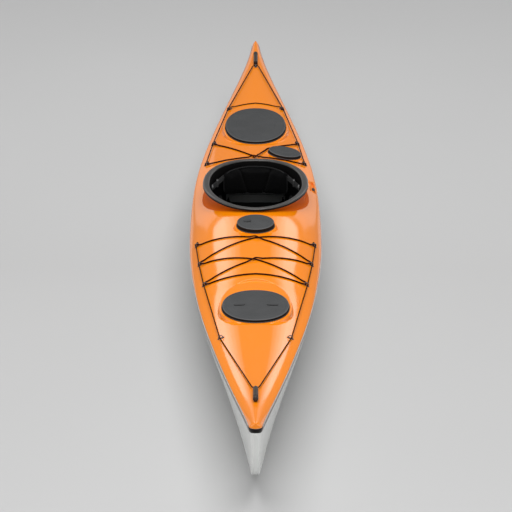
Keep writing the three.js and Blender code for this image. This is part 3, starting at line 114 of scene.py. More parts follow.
RISE = Run([
    (0, 0.198), (0.06, 0.223), (0.12, 0.268), (0.19, 0.347), (0.24, 0.425), (0.28, 0.509),
    (0.31, 0.594), (0.34, 0.72), (0.38, 0.86), (0.43, 0.965), (0.48, 1.053), (0.56, 0.802),
    (0.64, 0.526), (0.7, 0.409), (0.8, 0.3), (0.9, 0.247), (1, 0.181),
])


def share_at(y: Array) -> Array:
    """The share of the length at y, 0 at the bow."""
    return np.asarray(y, float) / LENGTH + 0.5


def seam_z(y: Array) -> Array:
    """The height of the seam."""
    return SEAM(share_at(y)) * SEAM_HEIGHT


def keel_z(y: Array) -> Array:
    """The height of the keel line."""
    return KEEL(share_at(y)) * SEAM_HEIGHT


def ridge_z(y: Array) -> Array:
    """The height of the deck on the centre line."""
    return seam_z(y) + RISE(share_at(y)) * DECK_RISE


def fullness(y: Array) -> Array:
    """How full the section is, 1 amidships and 0 at the ends."""
    return np.sin(np.pi * np.clip(share_at(y), 0, 1)) ** 0.8


def nose_radius(y: Array) -> Array:
    """The radius of the rounded end, in plan."""
    return np.where(np.asarray(y) < 0, PLAN.y[0], PLAN.y[-1]) * BEAM / 2


def half_breadth(y: Array, less: float = 0.0) -> Array:
    """Half the breadth at y, rounded off at the ends.

    Args:
        y: places along the boat.
        less: how much to take off before the rounding.

    Returns:
        Half the breadth, never under a hair's width.
    """
    radius = nose_radius(y)
    near = np.clip((radius - (LENGTH / 2 - np.abs(y))) / radius, 0, 1)
    breadth = PLAN(share_at(y)) * BEAM / 2 - less
    return np.maximum(breadth * np.sqrt(1 - near ** 2), 0.0)


def bezier(controls: list[tuple[Array, Array]], t: Array) -> tuple[Array, Array]:
    """Places on a curve with four control points, each with its own arrays."""
    s = 1 - t
    weights = (s ** 3, 3 * s * s * t, 3 * s * t * t, t ** 3)
    return tuple(sum(w * p[k] for w, p in zip(weights, controls)) for k in (0, 1))


def hull_controls(y: Array, less: float = BAND_PROUD) -> list[tuple[Array, Array]]:
    """Control points of the hull's half section, from the keel flat to the seam."""
    full = fullness(y)
    low, high = keel_z(y), seam_z(y)
    depth = high - low
    half = half_breadth(y, less)
    flat = np.minimum(KEEL_FLAT, half / 3)
    wide = half - flat
    return [
        (flat, low),
        (flat + wide * (0.12 + 0.5 * full), low + depth * 0.02 * full),
        (flat + wide * (0.48 + 0.49 * full), low + depth * (0.62 - 0.3 * full)),
        (half, high),
    ]


def deck_controls(y: Array, less: float = BAND_PROUD) -> list[tuple[Array, Array]]:
    """Control points of the deck's half section, from the seam to the ridge."""
    low, high = seam_z(y), ridge_z(y)
    rise = high - low
    half = half_breadth(y, less)
    return [(half, low), (half * 0.97, low + rise * 0.24), (half * 0.6, low + rise * 0.98), (half * 0, high)]


def solve(curve: Callable[[Array], Array], goal: Array, falling: bool) -> Array:
    """The parameter at which a steady curve reaches a goal, by halving."""
    low = np.zeros_like(goal, dtype=float)
    high = np.ones_like(goal, dtype=float)
    for _ in range(HALVINGS):
        middle = (low + high) / 2
        under = (curve(middle) > goal) if falling else (curve(middle) < goal)
        low, high = np.where(under, middle, low), np.where(under, high, middle)
    return low


def deck_t(x: Array, y: Array) -> Array:
    """Where on the deck's half section a place in plan lies, 0 at the seam."""
    controls = deck_controls(y)
    reach = np.minimum(np.abs(x), controls[0][0])
    return solve(lambda t: bezier(controls, t)[0], reach, True)


def deck_z(x: Array, y: Array) -> Array:
    """The height of the deck's plain outer face at a place in plan."""
    x, y = np.broadcast_arrays(np.asarray(x, float), np.asarray(y, float))
    return bezier(deck_controls(y), deck_t(x, y))[1]


def hull_x(y: Array, z: Array, less: float = BAND_PROUD) -> Array:
    """Half the breadth of the hull's face at a height."""
    y, z = np.broadcast_arrays(np.asarray(y, float), np.asarray(z, float))
    controls = hull_controls(y, less)
    return bezier(controls, solve(lambda t: bezier(controls, t)[1], z, False))[0]


def signed_power(value: Array | float, power: Array | float) -> Array:
    """A power of a value's size, with the value's sign."""
    return np.sign(value) * np.abs(value) ** power


def oval(turn: Array, half_width: float, half_length: float, power: float,
         aft: Optional[float] = None) -> Array:
    """Points of an oval in plan, as an array of [x, y].

    Args:
        turn: angles round the oval, with y aft at a quarter turn.
        half_width: reach across.
        half_length: reach towards the bow, and aft too when aft isn't given.
        power: 2 is an ellipse, and more is squarer.
        aft: reach aft.

    Returns:
        The points, one row each.
    """
    c, s = np.cos(turn), np.sin(turn)
    reach = np.where(s > 0, half_length if aft is None else aft, half_length)
    bend = 2 / np.broadcast_to(power, c.shape)
    return np.stack([half_width * signed_power(c, bend), reach * signed_power(s, bend)], -1)


def turns(count: int) -> Array:
    """Even angles round a full turn."""
    return np.arange(count) * 2 * np.pi / count


def level(flat: Array, z: Array | float) -> Array:
    """Points in plan, set at one height or at a height for each."""
    return np.column_stack([flat, np.broadcast_to(z, len(flat))])


@dataclass(frozen=True)
class Frame:
    """A place with its own axes: columns are x, y and z of the local frame."""

    origin: Array
    axes: Array

    def __call__(self, points: Array | list) -> Array:
        """Local points, turned into the boat's frame."""
        return np.asarray(points, float) @ self.axes.T + self.origin

    def turned(self, axis: int, angle: float) -> "Frame":
        """The same place, turned about one of its own axes."""
        spin = np.array(Matrix.Rotation(angle, 3, "XYZ"[axis]))
        return Frame(self.origin, self.axes @ spin)


def deck_frame(x: float, y: float, heading: float = 0.0) -> Frame:
    """A frame on the deck: x outboard to port, y aft along the heading, z along the normal."""
    step = LAMINATE
    slope_x = float(deck_z(x + step, y) - deck_z(x - step, y)) / (2 * step)
    slope_y = float(deck_z(x, y + step) - deck_z(x, y - step)) / (2 * step)
    normal = np.array([-slope_x, -slope_y, 1.0])
    normal /= np.linalg.norm(normal)
    ahead = np.array([math.sin(heading), math.cos(heading), 0.0])
    ahead -= ahead.dot(normal) * normal
    ahead /= np.linalg.norm(ahead)
    across = np.cross(ahead, normal)
    origin = np.array([x, y, float(deck_z(x, y))])
    return Frame(origin, np.stack([across, ahead, normal], 1))


def gunwale_heading(y: float, side: int) -> float:
    """The heading of the gunwale beside a place."""
    slope = float(half_breadth(y + LAMINATE) - half_breadth(y - LAMINATE)) / (2 * LAMINATE)
    return math.atan(side * slope)


# ---------------------------------------------------------------- mesh helpers
def signed_volume(verts: Array, faces: list) -> float:
    """Six times the volume that faces wrap, positive when they point outwards."""
    total = 0.0
    for face in faces:
        a = verts[face[0]]
        for j in range(1, len(face) - 1):
            total += float(np.dot(a, np.cross(verts[face[j]], verts[face[j + 1]])))
    return total


def welded(mesh: bpy.types.Mesh, distance: float, then: Callable) -> None:
    """Joins a mesh's doubled points, and edits it further with a function of its bmesh."""
    bm = bmesh.new()
    bm.from_mesh(mesh)
    bmesh.ops.remove_doubles(bm, verts=bm.verts, dist=distance * MM)
    then(bm)
    bm.to_mesh(mesh)
    bm.free()


def modify(obj: bpy.types.Object, kind: str, **fields) -> bpy.types.Modifier:
    """Adds a modifier with its settings."""
    made = obj.modifiers.new(kind.lower(), kind)
    for key, value in fields.items():
        setattr(made, key, value)
    return made


def mesh_object(name: str, verts: Array, faces: list, angle: float = 40.0,
                uvs: Optional[Array] = None, closed: bool = True) -> bpy.types.Object:
    """A linked object from points in millimetres.

    Args:
        name: the object's name.
        verts: points, one row each.
        faces: lists of point numbers.
        angle: edges sharper than this stay sharp, in degrees.
        uvs: a UV place for each corner of each face, in order.
        closed: True when the faces wrap a volume, and are then turned outwards.

    Returns:
        The object.
    """
    verts = np.asarray(verts, float)
    if closed and signed_volume(verts - verts.mean(0), faces) < 0:
        faces = [list(reversed(face)) for face in faces]
        if uvs is not None:
            ends = np.cumsum([len(face) for face in faces])
            uvs = np.concatenate([part[::-1] for part in np.split(uvs, ends[:-1])])
    mesh = bpy.data.meshes.new(name)
    mesh.from_pydata((verts * MM).tolist(), [], [list(map(int, face)) for face in faces])
    if uvs is not None:
        layer = mesh.uv_layers.new(name="UVMap")
        layer.data.foreach_set("uv", np.asarray(uvs, float).ravel())
    mesh.validate()
    return link(name, mesh, angle)


def placed(name: str, data: bpy.types.ID) -> bpy.types.Object:
    """A new object in the scene, for a mesh, lamp or camera."""
    obj = bpy.data.objects.new(name, data)
    bpy.context.scene.collection.objects.link(obj)
    return obj


def link(name: str, mesh: bpy.types.Mesh, angle: float = 40.0) -> bpy.types.Object:
    """Links a mesh as an object at the origin, smooth below an angle in degrees."""
    mesh.shade_smooth()
    mesh.set_sharp_from_angle(angle=math.radians(angle))
    return placed(name, mesh)


def grid_faces(rows: int, columns: int, loop_rows: bool, loop_columns: bool) -> list:
    """Quads of a grid of points that may close on itself either way."""
    faces = []
    for i in range(rows if loop_rows else rows - 1):
        here, there = i * columns, (i + 1) % rows * columns
        for j in range(columns if loop_columns else columns - 1):
            k = (j + 1) % columns
            faces.append([here + j, here + k, there + k, there + j])
    return faces


def loft(name: str, rings: Array, loop: bool = False, angle: float = 40.0) -> bpy.types.Object:
    """A closed skin through rings of points, as an object.

    Args:
        name: the object's name.
        rings: an array of rings, points and coordinates.
        loop: True when the last ring meets the first, and otherwise the ends are capped.
        angle: edges sharper than this stay sharp, in degrees.

    Returns:
        The object.
    """
    rings = np.asarray(rings, float)
    count, size = rings.shape[:2]
    verts = rings.reshape(-1, 3)
    faces = grid_faces(count, size, loop, True)
    if not loop:
        verts = np.concatenate([verts, [rings[0].mean(0)], [rings[-1].mean(0)]])
        low, high, last = count * size, count * size + 1, (count - 1) * size
        for j in range(size):
            k = (j + 1) % size
            faces.append([low, k, j])
            faces.append([high, last + j, last + k])
    return mesh_object(name, verts, faces, angle)


def mark(obj: bpy.types.Object, numbers: Array, finish: int = 1) -> None:
    """Gives the faces of these numbers another of the object's finishes."""
    for number in numbers:
        obj.data.polygons[int(number)].material_index = finish


def join(name: str, parts: list[bpy.types.Object]) -> bpy.types.Object:
    """Joins several objects' meshes into one new object, keeping UVs and sharp edges."""
    with bpy.context.temp_override(active_object=parts[0], selected_editable_objects=parts,
                                   selected_objects=parts):
        bpy.ops.object.join()
    parts[0].name = name
    parts[0].data.name = name
    return parts[0]


def applied(obj: bpy.types.Object) -> bpy.types.Object:
    """Turns an object's live modifiers into plain mesh."""
    depsgraph = bpy.context.evaluated_depsgraph_get()
    mesh = bpy.data.meshes.new_from_object(obj.evaluated_get(depsgraph))
    obj.modifiers.clear()
    obj.data = mesh
    return obj


def transport(path: Array) -> tuple[Array, Array]:
    """Two axes across a path at each of its points, carried along without twist."""
    tangent = np.gradient(path, axis=0)
    tangent /= np.linalg.norm(tangent, axis=1)[:, None] + 1e-12
    start = np.array([0.0, 0.0, 1.0]) if abs(tangent[0][2]) < 0.9 else np.array([1.0, 0.0, 0.0])
    side = np.cross(tangent[0], start)
    sides = []
    for t in tangent:
        side = side - t * side.dot(t)
        side /= np.linalg.norm(side)
        sides.append(side)
    sides = np.array(sides)
    return sides, np.cross(tangent, sides)


def tube(name: str, path: Array, radius: float | Array, sides: int = 10) -> bpy.types.Object:
    """A closed round tube along a path, with a UV map that runs round and along it.

    Args:
        name: the object's name.
        path: points, one row each.
        radius: one radius, or one for each point.
        sides: faces round the tube.

    Returns:
        The object.
    """
    path = np.asarray(path, float)
    count = len(path)
    a, b = transport(path)
    radius = np.broadcast_to(radius, count)[:, None, None]
    turn = turns(sides)
    ring = a[:, None] * np.cos(turn)[None, :, None] + b[:, None] * np.sin(turn)[None, :, None]
    verts = (path[:, None] + ring * radius).reshape(-1, 3)
    run = np.concatenate([[0], np.cumsum(np.linalg.norm(np.diff(path, axis=0), axis=1))]) * MM
    faces = grid_faces(count, sides, False, True)
    uvs = []
    for i in range(count - 1):
        for j in range(sides):
            low, high = j / sides, (j + 1) / sides
            uvs += [(low, run[i]), (high, run[i]), (high, run[i + 1]), (low, run[i + 1])]
    verts = np.concatenate([verts, path[:1], path[-1:]])
    for j in range(sides):
        k = (j + 1) % sides
        faces.append([count * sides, k, j])
        faces.append([count * sides + 1, (count - 1) * sides + j, (count - 1) * sides + k])
        uvs += [(0.5, run[0])] * 3 + [(0.5, run[-1])] * 3
    return mesh_object(name, verts, faces, 60.0, np.array(uvs))


def smooth_path(points: Array, spacing: float, window: float, lift: Optional[Callable] = None) -> Array:
    """Samples a path of straight runs evenly, rounds its corners and keeps it above a surface.

    Args:
        points: the corners.
        spacing: distance between samples.
        window: how far a corner is rounded off either way.
        lift: the least height at x and y, if any.

    Returns:
        The samples.
    """
    points = np.asarray(points, float)
    run = np.concatenate([[0], np.cumsum(np.linalg.norm(np.diff(points, axis=0), axis=1))])
    count = max(int(run[-1] / spacing), 4)
    at = np.linspace(0, run[-1], count)
    path = np.stack([np.interp(at, run, points[:, k]) for k in range(3)], 1)
    if lift is not None:
        path[:, 2] = np.maximum(path[:, 2], lift(path[:, 0], path[:, 1]))
    reach = max(int(window / spacing), 1)
    kernel = np.hanning(2 * reach + 3)[1:-1]
    kernel /= kernel.sum()
    padded = np.concatenate([
        2 * path[0] - path[reach:0:-1], path, 2 * path[-1] - path[-2:-reach - 2:-1],
    ])
    return np.stack([np.convolve(padded[:, k], kernel, "valid") for k in range(3)], 1)


# ---------------------------------------------------------------- finishes
class Kind(Enum):
    """What a surface is made of, which decides the pattern of its material."""

    GELCOAT = "gelcoat"
    MOULDED = "moulded"
    RUBBER = "rubber"
    BRAID = "braid"
    WEAVE = "weave"
    LAMINATE = "laminate"
    METAL = "metal"


def srgb(r: int, g: int, b: int) -> tuple[float, float, float, float]:
    """A colour as it is seen, turned into the values that light works in."""
    values = [v / 255 for v in (r, g, b)]
    return tuple(v / 12.92 if v <= 0.04045 else ((v + 0.055) / 1.055) ** 2.4 for v in values) + (1.0,)


def feed(target: bpy.types.Node, inputs: dict) -> bpy.types.Node:
    """Sets or links a node's inputs.

    Args:
        target: the node.
        inputs: a plain value or a socket for each input, by its name or number.

    Returns:
        The node.
    """
    for key, value in inputs.items():
        if isinstance(value, bpy.types.NodeSocket):
            target.id_data.links.new(value, target.inputs[key])
        else:
            target.inputs[key].default_value = value
    return target


def node(tree: bpy.types.NodeTree, kind: str, inputs: Optional[dict] = None, **fields) -> bpy.types.Node:
    """Adds a node with its own settings, and then feeds its inputs."""
    made = tree.nodes.new(kind)
    for key, value in fields.items():
        setattr(made, key, value)
    return feed(made, inputs or {})


def calc(tree: bpy.types.NodeTree, operation: str, *values) -> bpy.types.NodeSocket:
    """The result of a Math node on sockets and numbers."""
    return node(tree, "ShaderNodeMath", dict(enumerate(values)), operation=operation).outputs[0]


def split_up(tree: bpy.types.NodeTree, vector: bpy.types.NodeSocket) -> bpy.types.NodeOutputs:
    """The three parts of a vector."""
    return node(tree, "ShaderNodeSeparateXYZ", {0: vector}).outputs


def spread(tree: bpy.types.NodeTree, value: bpy.types.NodeSocket, **ends: float) -> bpy.types.NodeSocket:
    """A value mapped between ends, named from_min, from_max, to_min and to_max."""
    inputs = {key.replace("_", " ").title(): end for key, end in ends.items()}
    return node(tree, "ShaderNodeMapRange", {"Value": value, **inputs}).outputs["Result"]


def shader_group(name: str, inputs: dict[str, float | tuple],
                 build: Callable[[bpy.types.NodeTree, bpy.types.NodeOutputs], dict]) -> bpy.types.NodeTree:
    """A shader node group with named sockets.

    Args:
        name: the group's name.
        inputs: names with defaults; a tuple makes a vector.
        build: adds the nodes, and gives the sockets of the group's results by name.

    Returns:
        The group.
    """
    tree = bpy.data.node_groups.new(name, "ShaderNodeTree")
    for key, value in inputs.items():
        kind = "NodeSocketVector" if isinstance(value, tuple) else "NodeSocketFloat"
        tree.interface.new_socket(key, in_out="INPUT", socket_type=kind).default_value = value
    results = build(tree, node(tree, "NodeGroupInput").outputs)
    for key in results:
        tree.interface.new_socket(key, in_out="OUTPUT", socket_type="NodeSocketFloat")
    node(tree, "NodeGroupOutput", results)
    return tree


class Patterns:
    """The node groups that the finishes share."""

    def __init__(self) -> None:
        """Builds each group once."""
        self.surface = shader_group("surface_life", {
            "Vector": ORIGIN, "Blotch Scale": 3.0, "Grain Scale": 400.0, "Speck Scale": 900.0}, self._surface)
        self.braid = shader_group(
            "cord_braid", {"Vector": ORIGIN, "Strands": 6.0, "Pitch": 300.0}, self._braid)
        self.weave = shader_group("plain_weave", {"Vector": ORIGIN, "Scale": 900.0}, self._weave)

    @staticmethod
    def _surface(tree: bpy.types.NodeTree, source: bpy.types.NodeOutputs) -> dict:
        """Broad blotches, fine grain, specks of dust and worn edges."""
        blotch, grain, speck = (
            node(tree, "ShaderNodeTexNoise", {
                "Detail": detail, "Vector": source["Vector"], "Scale": source[f"{key} Scale"]}).outputs["Fac"]
            for key, detail in (("Blotch", 3.0), ("Grain", 2.0), ("Speck", 1.0)))
        pointed = node(tree, "ShaderNodeNewGeometry").outputs["Pointiness"]
        return {"Blotch": blotch, "Grain": grain, "Specks": spread(tree, speck, from_min=0.66, from_max=0.74),
                "Wear": spread(tree, pointed, from_min=0.52, from_max=0.6)}

    @staticmethod
    def _braid(tree: bpy.types.NodeTree, source: bpy.types.NodeOutputs) -> dict:
        """Strands that cross over each other round a cord."""
        parts = split_up(tree, source["Vector"])
        angles = [
            calc(tree, "MULTIPLY", calc(tree, "MULTIPLY", parts[slot], source[key]), 2 * math.pi)
            for slot, key in enumerate(("Strands", "Pitch"))]
        waves = [calc(tree, "SINE", calc(tree, way, *angles)) for way in ("ADD", "SUBTRACT")]
        return {"Height": calc(tree, "MULTIPLY_ADD", calc(tree, "MULTIPLY", *waves), 0.5, 0.5)}

    @staticmethod
    def _weave(tree: bpy.types.NodeTree, source: bpy.types.NodeOutputs) -> dict:
        """Yarns that pass over and under each other."""
        parts = split_up(tree, source["Vector"])
        waves = [calc(tree, "SINE", calc(tree, "MULTIPLY", parts[k], source["Scale"])) for k in range(3)]
        crossed = [calc(tree, "MULTIPLY", wave, waves[2]) for wave in waves[:2]]
        return {"Height": calc(tree, "MULTIPLY_ADD", calc(tree, "ADD", *crossed), 0.25, 0.5)}


SPECK_FINENESS = 1.7
BRAID_SHADE = 0.45
WEAVE_SHADE = 0.6
DUST_TINT = (170, 166, 160)
WEAR_TINT = (128, 128, 128)
# The colour sockets of a Mix node, by number.
COLOUR_A, COLOUR_B, COLOUR_RESULT = 6, 7, 2


@dataclass(frozen=True)
class Finish:
    """One material: its colours, gloss and the scale of its texture."""

    name: str
    kind: Kind
    colour: tuple[int, int, int]
    second: tuple[int, int, int]
    roughness: tuple[float, float] = (0.3, 0.4)
    coat: float = 0.0
    coat_roughness: float = 0.03
    specular: float = 0.5
    metallic: float = 0.0
    sheen: float = 0.0
    blotch: float = 3.0
    grain: float = 500.0
    bump: float = 0.1
    bump_depth: float = 0.0004
    specks: float = 0.0
    wear: float = 0.0
    strands: float = 6.0
    pitch: float = 160.0

    def material(self, patterns: Patterns) -> bpy.types.Material:
        """Builds the material, or gives the one already built."""
        name = f"finish_{self.name}"
        if name in bpy.data.materials:
            return bpy.data.materials[name]
        mat = bpy.data.materials.new(name)
        mat.use_nodes = True
        tree = mat.node_tree
        place = node(tree, "ShaderNodeTexCoord").outputs
        life = node(tree, "ShaderNodeGroup", {
            "Vector": place["Object"], "Blotch Scale": self.blotch, "Grain Scale": self.grain,
            "Speck Scale": self.grain * SPECK_FINENESS}, node_tree=patterns.surface).outputs
        colour = self._mix(tree, life["Blotch"], srgb(*self.colour), srgb(*self.second))
        height, shade = life["Grain"], None
        if self.kind is Kind.BRAID:
            height, shade = node(tree, "ShaderNodeGroup", {
                "Vector": place["UV"], "Strands": self.strands, "Pitch": self.pitch},
                node_tree=patterns.braid).outputs["Height"], BRAID_SHADE
        elif self.kind in (Kind.WEAVE, Kind.LAMINATE):
            height, shade = node(tree, "ShaderNodeGroup", {"Vector": place["Object"], "Scale": self.pitch},
                                 node_tree=patterns.weave).outputs["Height"], WEAVE_SHADE
        if shade:
            dark = tuple(v * shade for v in srgb(*self.colour)[:3]) + (1.0,)
            colour = self._mix(tree, height, dark, colour)
        for key, amount, tint in (("Specks", self.specks, DUST_TINT), ("Wear", self.wear, WEAR_TINT)):
            if amount:
                colour = self._mix(tree, calc(tree, "MULTIPLY", life[key], amount), colour, srgb(*tint))
        low, high = self.roughness
        bump = node(tree, "ShaderNodeBump", {
            "Strength": self.bump, "Distance": self.bump_depth, "Height": height})
        feed(tree.nodes["Principled BSDF"], {
            "Specular IOR Level": self.specular, "Metallic": self.metallic, "Coat Weight": self.coat,
            "Coat Roughness": self.coat_roughness, "Sheen Weight": self.sheen, "Base Color": colour,
            "Roughness": spread(tree, life["Blotch"], to_min=low, to_max=high),
            "Normal": bump.outputs["Normal"]})
        return mat

    @staticmethod
    def _mix(tree: bpy.types.NodeTree, factor: bpy.types.NodeSocket, first, second) -> bpy.types.NodeSocket:
        """A colour between two others, each a socket or plain values."""
        inputs = {"Factor": factor, COLOUR_A: first, COLOUR_B: second}
        return node(tree, "ShaderNodeMix", inputs, data_type="RGBA").outputs[COLOUR_RESULT]


DECK_GELCOAT = Finish(
    "deck_gelcoat", Kind.GELCOAT, (255, 144, 8), (252, 137, 6), (0.07, 0.12), coat=0.1,
    specular=0.5, blotch=1.4, grain=260.0, bump=0.03, bump_depth=0.0003, specks=0.03)
DECK_SATIN = Finish(
    "deck_satin", Kind.GELCOAT, (240, 142, 60), (232, 134, 54), (0.45, 0.55), specular=0.2,
    blotch=6.0, grain=900.0, bump=0.1, bump_depth=0.0002, specks=0.08)
# Painted shade: the riser's orange is darker than the deck's, standing for the shadow under the coaming's
# lip.
DECK_RISER_PAINTED_SHADE = Finish(
    "deck_riser_painted_shade", Kind.GELCOAT, (216, 98, 6), (208, 90, 5), (0.5, 0.6), specular=0.06,
    blotch=3.0, grain=400.0, bump=0.05, bump_depth=0.0003, specks=0.04)
HULL_GELCOAT = Finish(
    "hull_gelcoat", Kind.GELCOAT, (232, 233, 230), (222, 224, 221), (0.12, 0.2), coat=0.3,
    blotch=1.8, grain=260.0, bump=0.03, bump_depth=0.0003, specks=0.08)
GLASS_CLOTH = Finish(
    "glass_cloth", Kind.LAMINATE, (116, 118, 116), (98, 100, 98), (0.35, 0.5), coat=0.2,
    blotch=5.0, bump=0.5, bump_depth=0.0004, pitch=1500.0)
SEAM_TRIM = Finish(
    "seam_trim", Kind.MOULDED, (104, 88, 78), (88, 76, 68), (0.3, 0.42), blotch=6.0,
    grain=700.0, bump=0.12, specks=0.06)
# Painted highlight: a pale finish for the top of the seam band, where its edge catches the light.
SEAM_PAINTED_HIGHLIGHT = Finish(
    "seam_painted_highlight", Kind.MOULDED, (206, 198, 192), (192, 186, 180), (0.3, 0.42), blotch=6.0,
    grain=700.0, bump=0.12, specks=0.1)
END_CAP = Finish(
    "end_cap_plastic", Kind.MOULDED, (16, 14, 13), (24, 22, 21), (0.4, 0.52), specular=0.15,
    blotch=14.0, grain=900.0, bump=0.1, specks=0.05)
COAMING_BLACK = Finish(
    "coaming_plastic", Kind.MOULDED, (50, 48, 47), (60, 58, 56), (0.26, 0.36), coat=0.4,
    coat_roughness=0.14, blotch=7.0, grain=1100.0, bump=0.16, specks=0.08)
# Painted shade: a near-black copy of the coaming's plastic, for its inner wall and underside, where shadow
# falls.
COAMING_PAINTED_SHADE = Finish(
    "coaming_painted_shade", Kind.MOULDED, (12, 11, 11), (17, 16, 16), (0.5, 0.62), specular=0.08,
    blotch=7.0, grain=1100.0, bump=0.16, specks=0.03)
RIM_BLACK = Finish(
    "rim_plastic", Kind.MOULDED, (20, 20, 21), (28, 28, 29), (0.4, 0.55), blotch=9.0,
    grain=1000.0, bump=0.15, specks=0.08, wear=0.3)
HATCH_RUBBER = Finish(
    "hatch_rubber", Kind.RUBBER, (74, 75, 76), (62, 63, 64), (0.66, 0.8), specular=0.2,
    blotch=11.0, grain=1500.0, bump=0.35, bump_depth=0.0003, specks=0.12)
# Painted shade: a near-black copy of the lid's rubber, for its skirt, which stands in shade.
HATCH_SKIRT_PAINTED_SHADE = Finish(
    "hatch_skirt_painted_shade", Kind.RUBBER, (19, 17, 16), (14, 13, 12), (0.6, 0.75), specular=0.2,
    blotch=11.0, grain=1500.0, bump=0.3, bump_depth=0.0003, specks=0.05)
# Painted highlight: a lighter copy of the lid's rubber, for its rolled edge.
HATCH_EDGE_PAINTED_HIGHLIGHT = Finish(
    "hatch_edge_painted_highlight", Kind.RUBBER, (88, 89, 90), (76, 77, 78), (0.5, 0.65), specular=0.35,
    blotch=11.0, grain=1500.0, bump=0.3, bump_depth=0.0003, specks=0.12)
SEAT_BLACK = Finish(
    "seat_plastic", Kind.MOULDED, (6, 6, 7), (9, 9, 10), (0.55, 0.65), specular=0.05, blotch=9.0,
    grain=1300.0, bump=0.2, specks=0.04, wear=0.4)
FITTING_BLACK = Finish(
    "hard_plastic", Kind.MOULDED, (22, 21, 22), (36, 35, 36), (0.3, 0.42), coat=0.2,
    blotch=30.0, grain=1500.0, bump=0.12, wear=0.5, specks=0.1)
TOGGLE_GREY = Finish(
    "toggle_plastic", Kind.MOULDED, (40, 31, 26), (58, 48, 42), (0.3, 0.42), specular=0.3,
    blotch=90.0, grain=1400.0, bump=0.15, specks=0.05)
PAD_FABRIC = Finish(
    "pad_fabric", Kind.WEAVE, (11, 11, 12), (7, 7, 8), (0.85, 0.95), sheen=0.03, specular=0.08,
    blotch=16.0, bump=0.6, bump_depth=0.0004, pitch=2600.0, specks=0.03)
STRAP_WEAVE = Finish(
    "strap_weave", Kind.WEAVE, (17, 17, 18), (24, 24, 25), (0.7, 0.85), sheen=0.08, specular=0.25,
    blotch=30.0, bump=0.8, bump_depth=0.0006, pitch=3200.0)
BUNGEE_BRAID = Finish(
    "bungee_braid", Kind.BRAID, (60, 10, 3), (42, 6, 2), (0.65, 0.8), sheen=0.0, specular=0.08,
    blotch=40.0, bump=0.8, bump_depth=0.0006, strands=6.0, pitch=150.0)
LINE_BRAID = Finish(
    "line_braid", Kind.BRAID, (38, 9, 4), (26, 6, 3), (0.65, 0.8), sheen=0.0, specular=0.08,
    blotch=40.0, bump=0.8, bump_depth=0.0005, strands=5.0, pitch=200.0)
BOARD = Finish(
    "bulkhead_board", Kind.LAMINATE, (132, 134, 134), (112, 114, 114), (0.5, 0.65),
    blotch=7.0, bump=0.4, bump_depth=0.0003, pitch=1200.0, specks=0.1)
STEEL = Finish(
    "pin_steel", Kind.METAL, (186, 188, 192), (158, 160, 166), (0.2, 0.34), metallic=1.0,
    blotch=60.0, grain=2400.0, bump=0.15, bump_depth=0.0001)


class Workshop:
    """Dresses pieces and reports them."""

    def __init__(self) -> None:
        """Builds the shared patterns."""
        self.patterns = Patterns()

    def dress(self, obj: bpy.types.Object, *finishes: Finish) -> None:
        """Gives an object its materials, in order of its slots."""
        marks = np.zeros(len(obj.data.polygons), np.int32)
        obj.data.polygons.foreach_get("material_index", marks)
        obj.data.materials.clear()
        for finish in finishes:
            obj.data.materials.append(finish.material(self.patterns))
        obj.data.polygons.foreach_set("material_index", np.minimum(marks, len(finishes) - 1))

    def fit(self, obj: bpy.types.Object, finish: Finish | list[Finish], body: str,
            nodes: Iterable[str] = ()) -> None:
        """Dresses a piece, sets it on its body and says which nodes it stands for.

        Args:
            obj: the piece.
            finish: its finish, or several for its slots.
            body: the body that it rides on.
            nodes: the frame's nodes that it stands for.
        """
        self.dress(obj, *(finish if isinstance(finish, list) else [finish]))
        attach(obj, body)
        names = list(nodes)
        if names:
            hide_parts(*names)
        log.info("%s: %d faces on %s, for %s", obj.name, len(obj.data.polygons), body, names or "no node")

    def keep(self, node_name: str, finish: Finish) -> None:
        """Gives a node of the frame its finish in place."""
        self.dress(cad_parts[node_name], finish)
        log.info("%s: kept from the frame", node_name)


# ---------------------------------------------------------------- hatches
@dataclass(frozen=True)
class Grip:
    """A moulded finger grip in a lid: its middle, its half sizes and its depth."""

    x: float
    y: float
    half_width: float
    half_length: float
    depth: float


@dataclass(frozen=True)
class Hatch:
    """A hatch: an oval on a level pad, with a rim through the deck and a lid over it."""

    name: str
    x: float
    y: float
    lift: float
    half_width: float
    half_length: float
    pitch: float = 0.0
    roll: float = 0.0
    power: float = 2.15
    margin: float = 12.0
    pad_aft: float = 0.0
    rim_height: float = 8.0
    segments: int = 120
    grips: tuple[Grip, ...] = ()
    grooves: tuple[float, ...] = ()

    def frame(self) -> Frame:
        """The hatch's own frame, level with its pad."""
        origin = np.array([self.x, self.y, float(deck_z(self.x, self.y)) + self.lift])
        level = Frame(origin, np.eye(3))
        return level.turned(0, math.radians(self.pitch)).turned(1, math.radians(self.roll))

    def ring(self, offset: float, height: float = 0.0, aft: float = 0.0, shrink: float = 1.0) -> Array:
        """A ring round the hatch, at an offset from its oval, in the boat's frame."""
        length = self.half_length + offset
        flat = oval(turns(self.segments), self.half_width + offset, length, self.power, length + aft)
        flat = flat * shrink
        return self.frame()(level(flat, height))

    def covers(self, x: Array, y: Array, offset: float, aft: float = 0.0) -> Array:
        """Which places in plan lie inside the hatch's oval at an offset."""
        u, v = x - self.x, y - self.y
        length = self.half_length + offset
        reach = np.where(v > 0, length + aft, length)
        return (np.abs(u) / (self.half_width + offset)) ** self.power + (np.abs(v) / reach) ** self.power < 1


